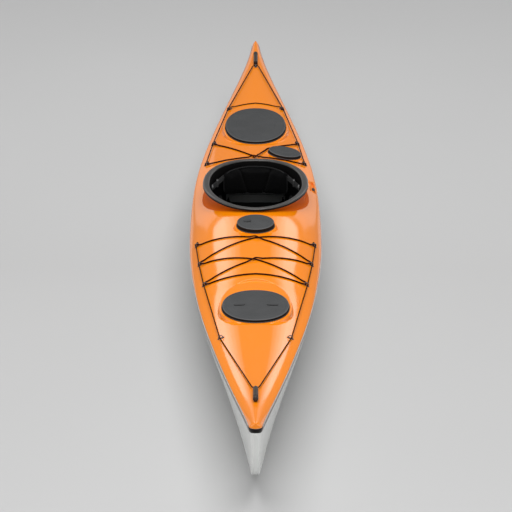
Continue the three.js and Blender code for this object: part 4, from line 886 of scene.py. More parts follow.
BOW_HATCH = Hatch(
    "bow_hatch", 0.0, -0.2272 * LENGTH, -0.4, 131.0, 166.0, pitch=0.6, margin=13.0, pad_aft=119.0,
    grips=(Grip(-64.0, -6.0, 25.0, 13.0, 3.2), Grip(66.0, -6.0, 25.0, 13.0, 3.2)),
    grooves=(-13.0, -40.0))
STERN_HATCH = Hatch(
    "stern_hatch", 0.0, 0.2538 * LENGTH, -0.1, 135.0, 244.0, pitch=0.5, segments=144,
    grooves=(-13.0, -44.0, -80.0))
DAY_HATCH = Hatch(
    "day_hatch", 0.458 * BEAM / 2, 0.1804 * LENGTH, -0.4, 72.0, 72.0, roll=9.0, power=2.0,
    margin=7.0, rim_height=10.0, segments=96, grooves=(-10.0, -26.0))
DECK_HATCH = Hatch(
    "deck_hatch", 0.0, -0.0526 * LENGTH, 0.6, 77.0, 77.0, pitch=5.0, power=2.0, rim_height=14.0, segments=96,
    grips=(Grip(-35.0, 0.0, 17.0, 15.0, 5.0), Grip(37.0, 0.0, 15.0, 12.0, 2.2)), grooves=(-10.0,))
HATCHES = (BOW_HATCH, STERN_HATCH, DAY_HATCH, DECK_HATCH)
RIM_OUTER = -4.0


# ---------------------------------------------------------------- cockpit outline
COCKPIT_Y = 0.0578 * LENGTH
COCKPIT_HALF_LENGTH = 366.0
COCKPIT_HALF_WIDTH = 197.0
COAMING_LIP = 28.0
COAMING_FRONT = 132.0
COAMING_BACK = 98.0
COAMING_FOOT = 14.0
HEM = 2.5
FRONT_POWER = 1.9
REAR_POWER = 2.25


def cockpit_ring(offset: float | Array, count: int) -> Array:
    """Points round the cockpit's outline at an offset, in plan."""
    turn = turns(count)
    power = np.where(np.sin(turn) > 0, REAR_POWER, FRONT_POWER)
    return oval(turn, COCKPIT_HALF_WIDTH + offset, COCKPIT_HALF_LENGTH + offset, power) + [0, COCKPIT_Y]


def cockpit_x(y: Array) -> Array:
    """Half the cockpit's width at y."""
    y = np.asarray(y, float)
    power = np.where(y > COCKPIT_Y, REAR_POWER, FRONT_POWER)
    reach = np.minimum(np.abs(y - COCKPIT_Y) / COCKPIT_HALF_LENGTH, 1)
    return COCKPIT_HALF_WIDTH * (1 - reach ** power) ** (1 / power)


def in_cockpit(x: Array, y: Array, offset: float) -> Array:
    """Which places in plan lie inside the cockpit's outline at an offset."""
    power = np.where(y > COCKPIT_Y, REAR_POWER, FRONT_POWER)
    across = np.abs(x) / (COCKPIT_HALF_WIDTH + offset)
    ahead = np.abs(y - COCKPIT_Y) / (COCKPIT_HALF_LENGTH + offset)
    return across ** power + ahead ** power < 1


def coaming_z(y: Array) -> Array:
    """The height of the coaming's lip."""
    half = COCKPIT_HALF_LENGTH + COAMING_LIP
    share = (y - COCKPIT_Y + half) / (2 * half)
    return SEAM_HEIGHT + COAMING_FRONT + (COAMING_BACK - COAMING_FRONT) * share


SLIDER_Y = 0.105 * LENGTH
SLIDER_FRAME = deck_frame(0.889 * BEAM / 2, SLIDER_Y, gunwale_heading(SLIDER_Y, 1))
TRACK_HALF = 63.0
TRACK_WIDTH = 20.0
TRACK_DEPTH = 9.0


def rounded_bar(half_x: float, half_y: float, radius: float, steps: int = 5) -> Array:
    """The outline of a flat bar with rounded corners, in plan."""
    corner = np.linspace(0, np.pi / 2, steps)
    points = []
    for k, (sx, sy) in enumerate(((1, 1), (-1, 1), (-1, -1), (1, -1))):
        turn = corner + k * np.pi / 2
        middle = np.array([sx * (half_x - radius), sy * (half_y - radius)])
        points += [middle + radius * np.array([math.cos(a), math.sin(a)]) for a in turn]
    return np.array(points)


# ---------------------------------------------------------------- hull and deck
@dataclass
class Ring:
    """A closed line in the skin's flat map, with the places of its points on the boat."""

    flat: Array
    places: Array


@dataclass
class Skins:
    """The two skins of the boat, each a wall of laminate with its true openings."""

    spread: float = 300.0
    keel_share: float = 0.07
    deck_columns: int = 25
    hull_columns: int = 27
    step: float = 24.0
    cleared: float = 6.0
    skeg_slot: tuple[float, float, float] = (6.0, 1602.0, 1972.0)
    cockpit_rings: tuple[float, float] = (5.3, 12.0)
    cockpit_points: int = 160
    pad_steps: tuple = (
        (-6.5, 1.0), (-3.5, 1.0), (-2.0, 0.93), (-0.6, 0.7), (0.6, 0.36), (1.8, 0.1), (3.2, 0.0),
        (5.2, 0.0), (9.5, 0.0))
    edge_share: float = 0.9999

    def stations(self) -> Array:
        """Places along the boat, closer at the two noses."""
        bow, stern = float(nose_radius(-1)), float(nose_radius(1))
        turn = np.radians([0, 7, 15, 25, 37, 51, 68, 86])
        ends = [-LENGTH / 2 + bow * (1 - np.cos(turn)), LENGTH / 2 - stern * (1 - np.cos(turn))]
        near = np.array([2474.0, 2466.0, 2456.0, 2444.0, 2430.0])
        middle = np.arange(-2412.0, 2412.1, self.step)
        return np.unique(np.concatenate([ends[0], -near, middle, near, ends[1]]))

    def deck_place(self, u: Array, y: Array) -> Array:
        """The deck's outer face at places of its flat map."""
        controls = deck_controls(y)
        x, z = bezier(controls, 1 - np.abs(u))
        z = z + np.where(np.abs(u) > self.edge_share, SEAM_GAP / 2, 0)
        return np.stack([np.sign(u) * x, y, z], -1)

    def hull_place(self, u: Array, y: Array) -> Array:
        """The hull's outer face at places of its flat map."""
        controls = hull_controls(y)
        t = np.clip((np.abs(u) - self.keel_share) / (1 - self.keel_share), 0, 1)
        x, z = bezier(controls, t)
        x = np.where(np.abs(u) < self.keel_share, controls[0][0] * np.abs(u) / self.keel_share, x)
        z = z - np.where(np.abs(u) > self.edge_share, SEAM_GAP / 2, 0)
        return np.stack([np.sign(u) * x, y, z], -1)

    def on_deck(self, plan: Array, heights: Optional[Array] = None, weight: float = 0.0) -> Ring:
        """A ring on the deck from its places in plan, raised or sunk towards given heights."""
        x, y = plan[:, 0], plan[:, 1]
        u = np.sign(x) * (1 - deck_t(x, y))
        z = deck_z(x, y)
        if heights is not None:
            z = z + (heights - z) * weight
        return Ring(np.column_stack([u * self.spread, y]), np.column_stack([x, y, z]))

    def pad_rings(self, hatch: Hatch) -> list[Ring]:
        """Rings from a hatch's hole over its pad and up or down to the plain deck."""
        rings = []
        for offset in (RIM_OUTER + GAP, RIM_OUTER + 3.0):
            points = hatch.ring(offset)
            rings.append(self.on_deck(points[:, :2], points[:, 2], 1.0))
        for offset, weight in self.pad_steps:
            points = hatch.ring(hatch.margin + offset, aft=hatch.pad_aft)
            rings.append(self.on_deck(points[:, :2], points[:, 2], weight))
        return rings

    def triangulate(self, place: Callable, columns: int, rings: list[Ring],
                    free: Callable[[Array, Array], Array], hole: Callable[[Array, Array], Array],
                    up: bool) -> tuple[Array, list]:
        """A skin over the flat map, with rings let into it and holes left out.

        Args:
            place: gives the boat's places for places of the flat map.
            columns: points across half of the skin.
            rings: the lines let into it.
            free: says which plain points stay, by x and y in plan.
            hole: says which faces are left out, by x and y in plan.
            up: True when the outer face looks up.

        Returns:
            Points and faces.
        """
        u = np.linspace(-1, 1, 2 * columns - 1)
        grid_u, grid_y = np.meshgrid(u, self.stations())
        grid_u, grid_y = grid_u.ravel(), grid_y.ravel()
        places = place(grid_u, grid_y)
        keep = free(places[:, 0], places[:, 1])
        flat = [np.column_stack([grid_u * self.spread, grid_y])[keep]]
        solid = [places[keep]]
        edges = []
        base = int(keep.sum())
        for ring in rings:
            count = len(ring.flat)
            edges += [(base + j, base + (j + 1) % count) for j in range(count)]
            flat.append(ring.flat)
            solid.append(ring.places)
            base += count
        flat = np.concatenate(flat)
        solid = np.concatenate(solid)
        result = delaunay_2d_cdt([Vector(p) for p in flat.tolist()], edges, [], 0, 1e-4)
        points = np.array([tuple(p) for p in result[0]])
        verts = place(points[:, 0] / self.spread, points[:, 1])
        for k, origin in enumerate(result[3]):
            if origin:
                verts[k] = solid[origin[0]]
        faces = np.array([list(face) for face in result[2] if len(face) == 3])
        middle = verts[faces].mean(1)
        faces = faces[~hole(middle[:, 0], middle[:, 1])]
        a, b, c = (points[faces[:, k]] for k in range(3))
        area = (b[:, 0] - a[:, 0]) * (c[:, 1] - a[:, 1]) - (b[:, 1] - a[:, 1]) * (c[:, 0] - a[:, 0])
        turned = area < 0 if up else area > 0
        faces[turned] = faces[turned][:, ::-1]
        return verts, faces[np.abs(area) > 1e-6].tolist()

    def walled(self, name: str, verts: Array, faces: list) -> bpy.types.Object:
        """Closes a skin's noses and gives it its thickness."""
        mesh = bpy.data.meshes.new(name)
        mesh.from_pydata((verts * MM).tolist(), [], faces)
        welded(mesh, 20 * WELD, lambda bm: bmesh.ops.delete(
            bm, geom=[v for v in bm.verts if not v.link_faces], context="VERTS"))
        obj = link(name, mesh, 50.0)
        modify(obj, "SOLIDIFY", thickness=LAMINATE * MM, offset=-1.0, material_offset=1,
               material_offset_rim=0)
        for _ in range(2):
            obj.data.materials.append(None)
        return applied(obj)

    def deck(self) -> bpy.types.Object:
        """The deck, with its moulded pads, its hatch holes, cockpit and slider slot."""
        rings = [ring for hatch in HATCHES for ring in self.pad_rings(hatch)]
        for offset in self.cockpit_rings:
            rings.append(self.on_deck(cockpit_ring(offset, self.cockpit_points)))
        slot = rounded_bar(TRACK_WIDTH / 2 + GAP, TRACK_HALF + GAP, 1.5)
        rings.append(self.on_deck(SLIDER_FRAME(level(slot, 0.0))[:, :2]))

        def near_slot(x: Array, y: Array, grow: float) -> Array:
            local = (np.column_stack([x, y]) - SLIDER_FRAME.origin[:2]) @ SLIDER_FRAME.axes[:2, :2]
            wide = TRACK_WIDTH / 2 * SLIDER_FRAME.axes[2, 2]
            return (np.abs(local[:, 0]) < wide + grow) & (np.abs(local[:, 1]) < TRACK_HALF + grow)

        def free(x: Array, y: Array) -> Array:
            taken = in_cockpit(x, y, self.cockpit_rings[-1] + self.cleared) | near_slot(x, y, self.cleared)
            for hatch in HATCHES:
                reach = hatch.margin + self.pad_steps[-1][0] + self.cleared
                taken |= hatch.covers(x, y, reach, hatch.pad_aft)
            return ~taken

        def hole(x: Array, y: Array) -> Array:
            out = in_cockpit(x, y, self.cockpit_rings[0] - 0.1) | near_slot(x, y, -GAP)
            for hatch in HATCHES:
                out |= hatch.covers(x, y, RIM_OUTER + GAP - 0.1)
            return out

        verts, faces = self.triangulate(self.deck_place, self.deck_columns, rings, free, hole, True)
        return self.walled("deck_skin", verts, faces)

    def hull(self) -> bpy.types.Object:
        """The hull, with the slot for the skeg."""
        half, front, back = self.skeg_slot
        line = rounded_bar(half, (back - front) / 2, half * 0.98, 6) + [0, (front + back) / 2]
        u = line[:, 0] / hull_controls(line[:, 1])[0][0] * self.keel_share
        ring = Ring(np.column_stack([u * self.spread, line[:, 1]]), self.hull_place(u, line[:, 1]))

        def near(x: Array, y: Array, grow: float) -> Array:
            return (np.abs(x) < half + grow) & (y > front - grow) & (y < back + grow)

        verts, faces = self.triangulate(
            self.hull_place, self.hull_columns, [ring], lambda x, y: ~near(x, y, 3.0),
            lambda x, y: near(x, y, -0.01), False)
        return self.walled("hull_skin", verts, faces)

    def build(self, shop: Workshop) -> None:
        """Makes and fits both skins."""
        shop.fit(self.deck(), [DECK_GELCOAT, GLASS_CLOTH], "kayak", ["deck_shell"])
        shop.fit(self.hull(), [HULL_GELCOAT, GLASS_CLOTH], "kayak", ["hull_shell"])


# ---------------------------------------------------------------- seam and ends
@dataclass
class Edges:
    """The band over the seam and the caps on the two ends."""

    cap_length: float = 36.0
    inside: float = 0.3
    # How far down from the seam the pale painted highlight reaches.
    bead: float = 6.6
    front_rise: float = 8.0
    cap_proud: float = 1.4

    def band(self, side: int) -> bpy.types.Object:
        """The band on one side, rounded, with a pale strip along its top as a painted highlight."""
        end = LENGTH / 2 - self.cap_length - self.inside
        near = [-end, -2452.0, -2440.0, -2426.0]
        y = np.array(near + list(np.arange(-2400.0, 2400.1, 24.0)) + [-v for v in reversed(near)])
        gap = self.inside * (1 + 3 * (1 - fullness(y)))
        # Drop from the seam and share of the thickness, from the lower inside edge round to the top.
        profile = (
            (24.0, 0.0), (24.0, 0.55), (23.2, 0.9), (22.0, 1.0), (14.0, 1.0), (8.2, 1.0), (7.6, 0.72),
            (6.8, 0.72), (6.2, 1.0), (1.4, 1.0), (0.5, 0.8), (0.2, 0.4), (0.2, 0.0),
        )
        rings = []
        for drop, share in profile:
            z = seam_z(y) - drop
            face = hull_x(y, z)
            rings.append(np.stack([side * (face + gap + (BAND_PROUD - gap) * share), y, z], -1))
        band = loft("seam_band_left" if side > 0 else "seam_band_right", np.stack(rings, 1), angle=45.0)
        # Faces near the seam's top get the pale finish, a painted highlight along the band's top edge.
        for polygon in band.data.polygons:
            middle = polygon.center / MM
            polygon.material_index = int(seam_z(middle.y) - middle.z < self.bead)
        return band

    def cap(self, end: int) -> bpy.types.Object:
        """The moulded cap on one end, rounded over the nose."""
        radius = float(nose_radius(end))
        turn = np.radians([3, 10, 20, 32, 46, 62, 80])
        place = LENGTH / 2 - radius * (1 - np.cos(turn))
        y = np.concatenate([place, np.linspace(place[-1] - 2, LENGTH / 2 - self.cap_length, 6)]) * end
        low = float(KEEL(0.0 if end < 0 else 1.0)) * SEAM_HEIGHT
        steps = np.linspace(0, 1, 8)
        rings = []
        edge = np.array([1.2, 0.4, 0.0, 0.0, 0.0, 0.0, 0.4, 1.2])
        for k, place in enumerate(y):
            top = float(seam_z(place)) - 0.2
            rise = self.front_rise * max(0.0, 1 - (LENGTH / 2 - abs(float(place))) / radius)
            z = low + rise + (top - low - rise) * steps
            x = np.maximum(hull_x(np.full(len(steps), place), z, 0.0) - edge * min(k, 1), 0.12)
            port = np.stack([x, np.full(len(steps), place + end * self.cap_proud), z], -1)
            rings.append(np.concatenate([port, (port * [-1, 1, 1])[::-1]]))
        return loft("nose_cap_bow" if end < 0 else "nose_cap_stern", np.array(rings), angle=40.0)

    def build(self, shop: Workshop) -> None:
        """Makes and fits the band and the caps."""
        for side, name in ((1, "port"), (-1, "starboard")):
            shop.fit(self.band(side), [SEAM_TRIM, SEAM_PAINTED_HIGHLIGHT], "kayak", [f"seam_band_{name}"])
        for end, name in ((-1, "bow_cap"), (1, "stern_cap")):
            shop.fit(self.cap(end), END_CAP, "kayak", [name])


# ---------------------------------------------------------------- cockpit
@dataclass
class Coaming:
    """The cockpit's rim, with a rounded lip for the spray cover and two hooks for the thighs."""

    count: int = 180
    wall: float = 5.0
    hook_length: float = 210.0
    hook_reach: float = 62.0
    hook_thickness: float = 6.0
    riser_wall: float = 1.6
    riser_flare: float = 24.0
    # First profile strip of the underside; from it on, and on the inner wall, the coaming gets painted shade.
    painted_shade_from: int = 10
    # Offset from the outline and drop from the lip; a drop of None is the foot.
    profile: tuple = (
        (0.0, None), (0.0, -6.0), (0.3, -3.2), (1.3, -1.2), (3.2, -0.2), (6.0, 0.3), (14.0, 0.6),
        (21.0, 0.2), (25.0, -0.5), (27.2, -2.0), (28.0, -4.2), (28.0, -9.6), (27.3, -11.0),
        (25.9, -11.0), (25.0, -9.6), (24.4, -7.2), (22.6, -6.0), (9.0, -6.0), (5.6, -6.6),
        (5.0, -8.0), (5.0, None),
    )

    def rim(self) -> bpy.types.Object:
        """The wall and lip, as one loop."""
        rings = []
        for offset, drop in self.profile:
            plan = cockpit_ring(offset, self.count)
            foot = deck_z(plan[:, 0], plan[:, 1]) - COAMING_FOOT
            z = foot if drop is None else np.maximum(coaming_z(plan[:, 1]) + drop, foot + 1.0)
            rings.append(level(plan, z))
        return loft("coaming_rim", np.array(rings).transpose(1, 0, 2), loop=True, angle=50.0)

    def riser(self) -> bpy.types.Object:
        """The moulded rise of the deck outside the wall, with a wide fillet at its foot."""
        top = coaming_z(cockpit_ring(0.0, self.count)[:, 1]) - 6.6
        inner = cockpit_ring(self.wall + 0.15, self.count)
        foot = deck_z(inner[:, 0], inner[:, 1])
        top = np.maximum(top, foot + 1.0)
        outer = cockpit_ring(self.wall + self.riser_wall, self.count)
        room = np.minimum(self.riser_flare, 0.85 * (top - deck_z(outer[:, 0], outer[:, 1])))
        room = np.maximum(room, 0.8)
        rings = [level(inner, foot - 1.5), level(inner, top), level(outer, top)]
        for turn in np.radians(np.arange(0, 91, 15)):
            plan = cockpit_ring(self.wall + self.riser_wall + room * (1 - math.cos(turn)), self.count)
            height = np.maximum(room * (1 - math.sin(turn)), 0.12)
            rings.append(level(plan, deck_z(plan[:, 0], plan[:, 1]) + height))
        rings.append(rings[-1] - [0, 0, self.riser_wall])
        return loft("cockpit_riser", np.array(rings).transpose(1, 0, 2), loop=True, angle=60.0)

    def hook(self, side: int) -> bpy.types.Object:
        """A thigh hook, growing inwards from the foot of the wall."""
        start = COCKPIT_Y - COCKPIT_HALF_LENGTH * 0.84
        turn = turns(14)
        rings = []
        for t in np.linspace(0, 1, 30):
            y = start + self.hook_length * t
            root = float(cockpit_x(y)) + self.wall / 2
            low = float(deck_z(cockpit_x(y) + HEM, y)) - COAMING_FOOT + 0.45
            reach = self.hook_reach * math.sin(math.pi * (0.08 + 0.84 * t)) ** 0.8
            half = self.hook_thickness / 2
            across = 0.5 + 0.5 * signed_power(np.cos(turn), 0.35)
            depth = half * signed_power(np.sin(turn), 0.6)
            x = side * (root - reach * across)
            z = low + half + depth - (reach / 6) * across ** 1.6
            rings.append(np.column_stack([x, np.full(len(turn), y), z]))
        return loft(f"thigh_hook_{side}", np.array(rings), angle=60.0)

    def build(self, shop: Workshop) -> None:
        """Makes and fits the coaming with its hooks, and the rise that it stands on."""
        coaming = join("coaming", [self.rim(), self.hook(1), self.hook(-1)])
        # The inner wall and the underside strips take the painted shade finish.
        strip = np.arange(self.count * len(self.profile)) % len(self.profile)
        mark(coaming, np.flatnonzero((strip >= self.painted_shade_from) | (strip == 0)))
        shop.fit(coaming, [COAMING_BLACK, COAMING_PAINTED_SHADE], "kayak", ["cockpit_coaming"])
        # The rise is the deck's orange, darkened as painted shade under the lip.
        shop.fit(self.riser(), DECK_RISER_PAINTED_SHADE, "kayak")


# ---------------------------------------------------------------- hatches
@dataclass
class HatchWork:
    """The rim and the lid of one hatch."""

    hatch: Hatch
    rim_wall: float = 4.0
    under_pad: float = 16.0
    lid_wall: float = 3.5
    lid_top: float = 4.5
    crown: float = 3.0
    skirt_base: float = 4.5
    bead_share: float = 14.3
    # First and last strip of the skirt's painted shade, and of the rolled edge's painted highlight.
    shade_and_highlight_strips: tuple = ((3, 13), (13, 16))

    def rim(self) -> bpy.types.Object:
        """The rim: a sleeve through the deck with a flange on it."""
        inner, sleeve = RIM_OUTER - self.rim_wall, RIM_OUTER
        top, high = GAP + 3.0, self.hatch.rim_height
        profile = (
            (inner, -self.under_pad), (inner, high - 1.2), (inner + 0.5, high),
            (sleeve - 0.5, high), (sleeve, high - 0.8), (sleeve, high - 1.4),
            (sleeve - 1.0, high - 1.8), (sleeve - 1.0, high - 2.6), (sleeve, high - 3.0), (sleeve, top + 1.0),
            (sleeve + 0.8, top), (1.8, top), (2.8, top - 0.9), (3.0, GAP), (sleeve, GAP),
            (sleeve, -self.under_pad),
        )
        rings = [self.hatch.ring(offset, z) for offset, z in profile]
        return loft(f"{self.hatch.name}_collar", np.array(rings).transpose(1, 0, 2), loop=True, angle=35.0)

    def relief(self, flat: Array, offset: float) -> Array:
        """How far the lid's face stands above its plain crown, at places in its own plan."""
        height = np.zeros(len(flat))
        for groove in self.hatch.grooves:
            height -= 0.9 * np.exp(-((offset - groove) / 1.7) ** 2)
            height += 0.5 * np.exp(-((offset - groove - 4.2) / 1.6) ** 2)
        for grip in self.hatch.grips:
            u = np.abs(flat[:, 0] - grip.x) / grip.half_width
            v = np.abs(flat[:, 1] - grip.y) / grip.half_length
            reach = (u ** 3 + v ** 3) ** (1 / 3)
            height -= grip.depth / (1 + np.exp((reach - 0.86) * 16))
            height += 1.1 * np.exp(-((reach - 1.16) / 0.11) ** 2)
            height += 0.75 * grip.depth * np.exp(-(v / 0.3) ** 2) * (u < 0.8)
        return height

    def lid(self) -> bpy.types.Object:
        """The lid: a rubber cap with a beaded skirt, a rolled edge and a moulded face; the skirt and deep
        grips carry painted shade, the rolled edge a painted highlight.
        """
        hatch = self.hatch
        under = hatch.rim_height + GAP
        face = under + self.lid_top
        base = self.skirt_base
        bead = (face - base) / self.bead_share
        place = hatch.frame()
        rings = [hatch.ring(-self.lid_wall, under, shrink=shrink) for shrink in (0.02, 0.35, 0.7)]
        profile = (
            (-self.lid_wall, under), (-self.lid_wall, base + 0.8), (-self.lid_wall + 0.6, base),
            (-0.9, base), (0.0, base + 0.7 * bead), (0.0, base + 2.6 * bead), (-0.7, base + 3.4 * bead),
            (-0.7, base + 4.4 * bead), (-0.2, base + 5.4 * bead), (-0.1, face - 3.4), (-0.25, face - 2.2),
            (-0.9, face - 1.3), (-2.0, face - 0.5), (-3.5, face),
        )
        rings += [hatch.ring(offset, z) for offset, z in profile]
        edge = np.array([-4.6, -6.0, -7.2, -8.4, -9.6, -10.8, -12.0, -13.0, -14.2, -15.6, -17.5])
        inner = np.linspace(19.5, min(hatch.half_width, hatch.half_length) - 1.5, 34)
        for offset in np.concatenate([edge, -inner]):
            flat = oval(turns(hatch.segments), hatch.half_width + offset, hatch.half_length + offset,
                        hatch.power)
            rise = self.crown * min(1.0, (-offset - 3.5) / (hatch.half_width / 2 - 3.5))
            rings.append(place(level(flat, face + rise + self.relief(flat, offset))))
        lid = loft(f"{hatch.name}_lid", np.array(rings), angle=50.0)
        for finish, (first, last) in enumerate(self.shade_and_highlight_strips, 1):
            mark(lid, np.arange(first * hatch.segments, last * hatch.segments), finish)
        middles = np.array([polygon.center for polygon in lid.data.polygons]) / MM
        local = (middles - place.origin) @ place.axes
        # Deep grips take the skirt's near-black finish: painted shade in their hollows.
        for grip in hatch.grips:
            near = np.abs(local[:, 0] - grip.x) < 0.84 * grip.half_width
            near &= (np.abs(local[:, 1] - grip.y) < 0.6 * grip.half_length) & (local[:, 2] > face)
            mark(lid, np.flatnonzero(near & (grip.depth > 3)))
        return lid

    def build(self, shop: Workshop) -> None:
        """Makes and fits the rim and the lid."""
        name = self.hatch.name
        shop.fit(self.rim(), RIM_BLACK, "kayak", [f"{name}_rim"])
        # The lid's top, its skirt in painted shade and its rolled edge with a painted highlight.
        finishes = [HATCH_RUBBER, HATCH_SKIRT_PAINTED_SHADE, HATCH_EDGE_PAINTED_HIGHLIGHT]
        shop.fit(self.lid(), finishes, f"{name}_cover", [f"{name}_cover"])


# ---------------------------------------------------------------- deck fittings
FITTING_PLACES = {
    "fore_rear": (0.861, -0.06), "fore_middle": (0.807, -0.1076), "fore_front": (0.728, -0.1576),
    "bow_side": (0.479, -0.285), "aft_front": (0.766, 0.1624), "aft_middle": (0.667, 0.2184),
    "aft_rear": (0.432, 0.315),
}
BOW_FITTING = -0.4168
STERN_FITTING = 0.4256
SIDES = (("port", 1), ("starboard", -1))


def fitting_frame(key: str, side: int) -> Frame:
    """The frame of a fitting beside the gunwale."""
    x, y = FITTING_PLACES[key]
    return deck_frame(side * x * BEAM / 2, y * LENGTH, gunwale_heading(y * LENGTH, side))


def centre_frame(share: float) -> Frame:
    """The frame of a fitting on the centre line, with x towards the cockpit."""
    return deck_frame(0.0, share * LENGTH, math.copysign(math.pi / 2, share))


class Scatter:
    """Sets copies of one small shape at many places, with Geometry Nodes."""

    def __init__(self) -> None:
        """Builds the tree once."""
        tree = bpy.data.node_groups.new("set_out_copies", "GeometryNodeTree")
        self.tree = tree
        self.keys = {}
        for key, kind in (("Geometry", "Geometry"), ("Shape", "Object"), ("Finish", "Material")):
            socket = tree.interface.new_socket(key, in_out="INPUT", socket_type=f"NodeSocket{kind}")
            self.keys[key] = socket.identifier
        tree.interface.new_socket("Geometry", in_out="OUTPUT", socket_type="NodeSocketGeometry")
        source = node(tree, "NodeGroupInput").outputs
        points = node(tree, "GeometryNodeMeshToPoints", {"Mesh": source["Geometry"]})
        shape = node(tree, "GeometryNodeObjectInfo", {"Object": source["Shape"]})
        turn = node(tree, "GeometryNodeInputNamedAttribute", {"Name": "turn"}, data_type="FLOAT_VECTOR")
        spin = node(tree, "FunctionNodeEulerToRotation", {"Euler": turn.outputs["Attribute"]})
        copies = node(tree, "GeometryNodeInstanceOnPoints", {
            "Points": points.outputs["Points"], "Instance": shape.outputs["Geometry"],
            "Rotation": spin.outputs["Rotation"]})
        real = node(tree, "GeometryNodeRealizeInstances", {"Geometry": copies.outputs["Instances"]})
        paint = node(tree, "GeometryNodeSetMaterial", {
            "Geometry": real.outputs["Geometry"], "Material": source["Finish"]})
        node(tree, "NodeGroupOutput", {"Geometry": paint.outputs["Geometry"]})

    def __call__(self, name: str, shape: bpy.types.Object, places: list[Frame],
                 material: bpy.types.Material) -> bpy.types.Object:
        """Copies of a shape at frames, as one plain mesh.

        Args:
            name: the new object's name.
            shape: the shape, which is used up.
            places: where the copies go.
            material: their material.

        Returns:
            The object.
        """
        mesh = bpy.data.meshes.new(name)
        mesh.from_pydata([tuple(place.origin * MM) for place in places], [], [])
        angles = mesh.attributes.new("turn", "FLOAT_VECTOR", "POINT")
        for k, place in enumerate(places):
            angles.data[k].vector = Matrix(place.axes.tolist()).to_euler()
        obj = placed(name, mesh)
        work = modify(obj, "NODES", node_group=self.tree)
        work[self.keys["Shape"]] = shape
        work[self.keys["Finish"]] = material
        applied(obj)
        bpy.data.objects.remove(shape)
        return obj


@dataclass
class Fittings:
    """The moulded loops on the deck that the cords run through."""

    half_base: float = 14.0
    half_length: float = 4.6
    arch_half: float = 8.6
    arch_top: float = 11.3
    thickness: float = 2.6
    screw_x: float = 12.0

    def shape(self) -> bpy.types.Object:
        """One fitting in its own frame: a foot, an arch and two screws."""
        turn = turns(40)
        foot = []
        for inset, z in ((0.0, -2.6), (0.0, 1.5), (0.35, 2.1), (1.0, 2.45)):
            foot.append(level(oval(turn, self.half_base - inset, self.half_length + 0.6 - inset, 3.2), z))
        around = turns(14)
        arch = []
        for a in np.linspace(0, np.pi, 25):
            x, z = (signed_power(v, 2 / 3) for v in (math.cos(a), math.sin(a)))
            middle = np.array([self.arch_half * x, 0.0, self.arch_top * z])
            out = np.array([math.cos(a), 0.0, math.sin(a) + 1e-9])
            out /= np.linalg.norm(out)
            wide = self.half_length * (1 - 0.16 * math.sin(a))
            c, s = (signed_power(v, 0.7) for v in (np.cos(around), np.sin(around)))
            arch.append(middle + np.outer(c, out) * self.thickness / 2 + np.outer(s, [0, 1, 0]) * wide)
        parts = [loft("fitting_foot", np.array(foot)), loft("fitting_arch", np.array(arch), angle=60.0)]
        for x in (-self.screw_x, self.screw_x):
            rings = [level(oval(turns(12), radius, radius, 2.0) + [x, 0], z)
                     for radius, z in ((1.7, 2.0), (1.7, 2.7), (1.2, 3.05), (0.5, 3.15))]
            parts.append(loft("fitting_screw", np.array(rings)))
        return join("fitting_shape", parts)

    def build(self, shop: Workshop, scatter: Scatter) -> None:
        """Sets out and fits every loop."""
        places = [centre_frame(BOW_FITTING), centre_frame(STERN_FITTING)]
        nodes = ["fitting_bow", "fitting_stern"]
        for key in FITTING_PLACES:
            for name, side in SIDES:
                places.append(fitting_frame(key, side))
                nodes.append(f"fitting_{key}_{name}")
        loops = scatter("deck_loops", self.shape(), places, FITTING_BLACK.material(shop.patterns))
        shop.fit(loops, FITTING_BLACK, "kayak", nodes)


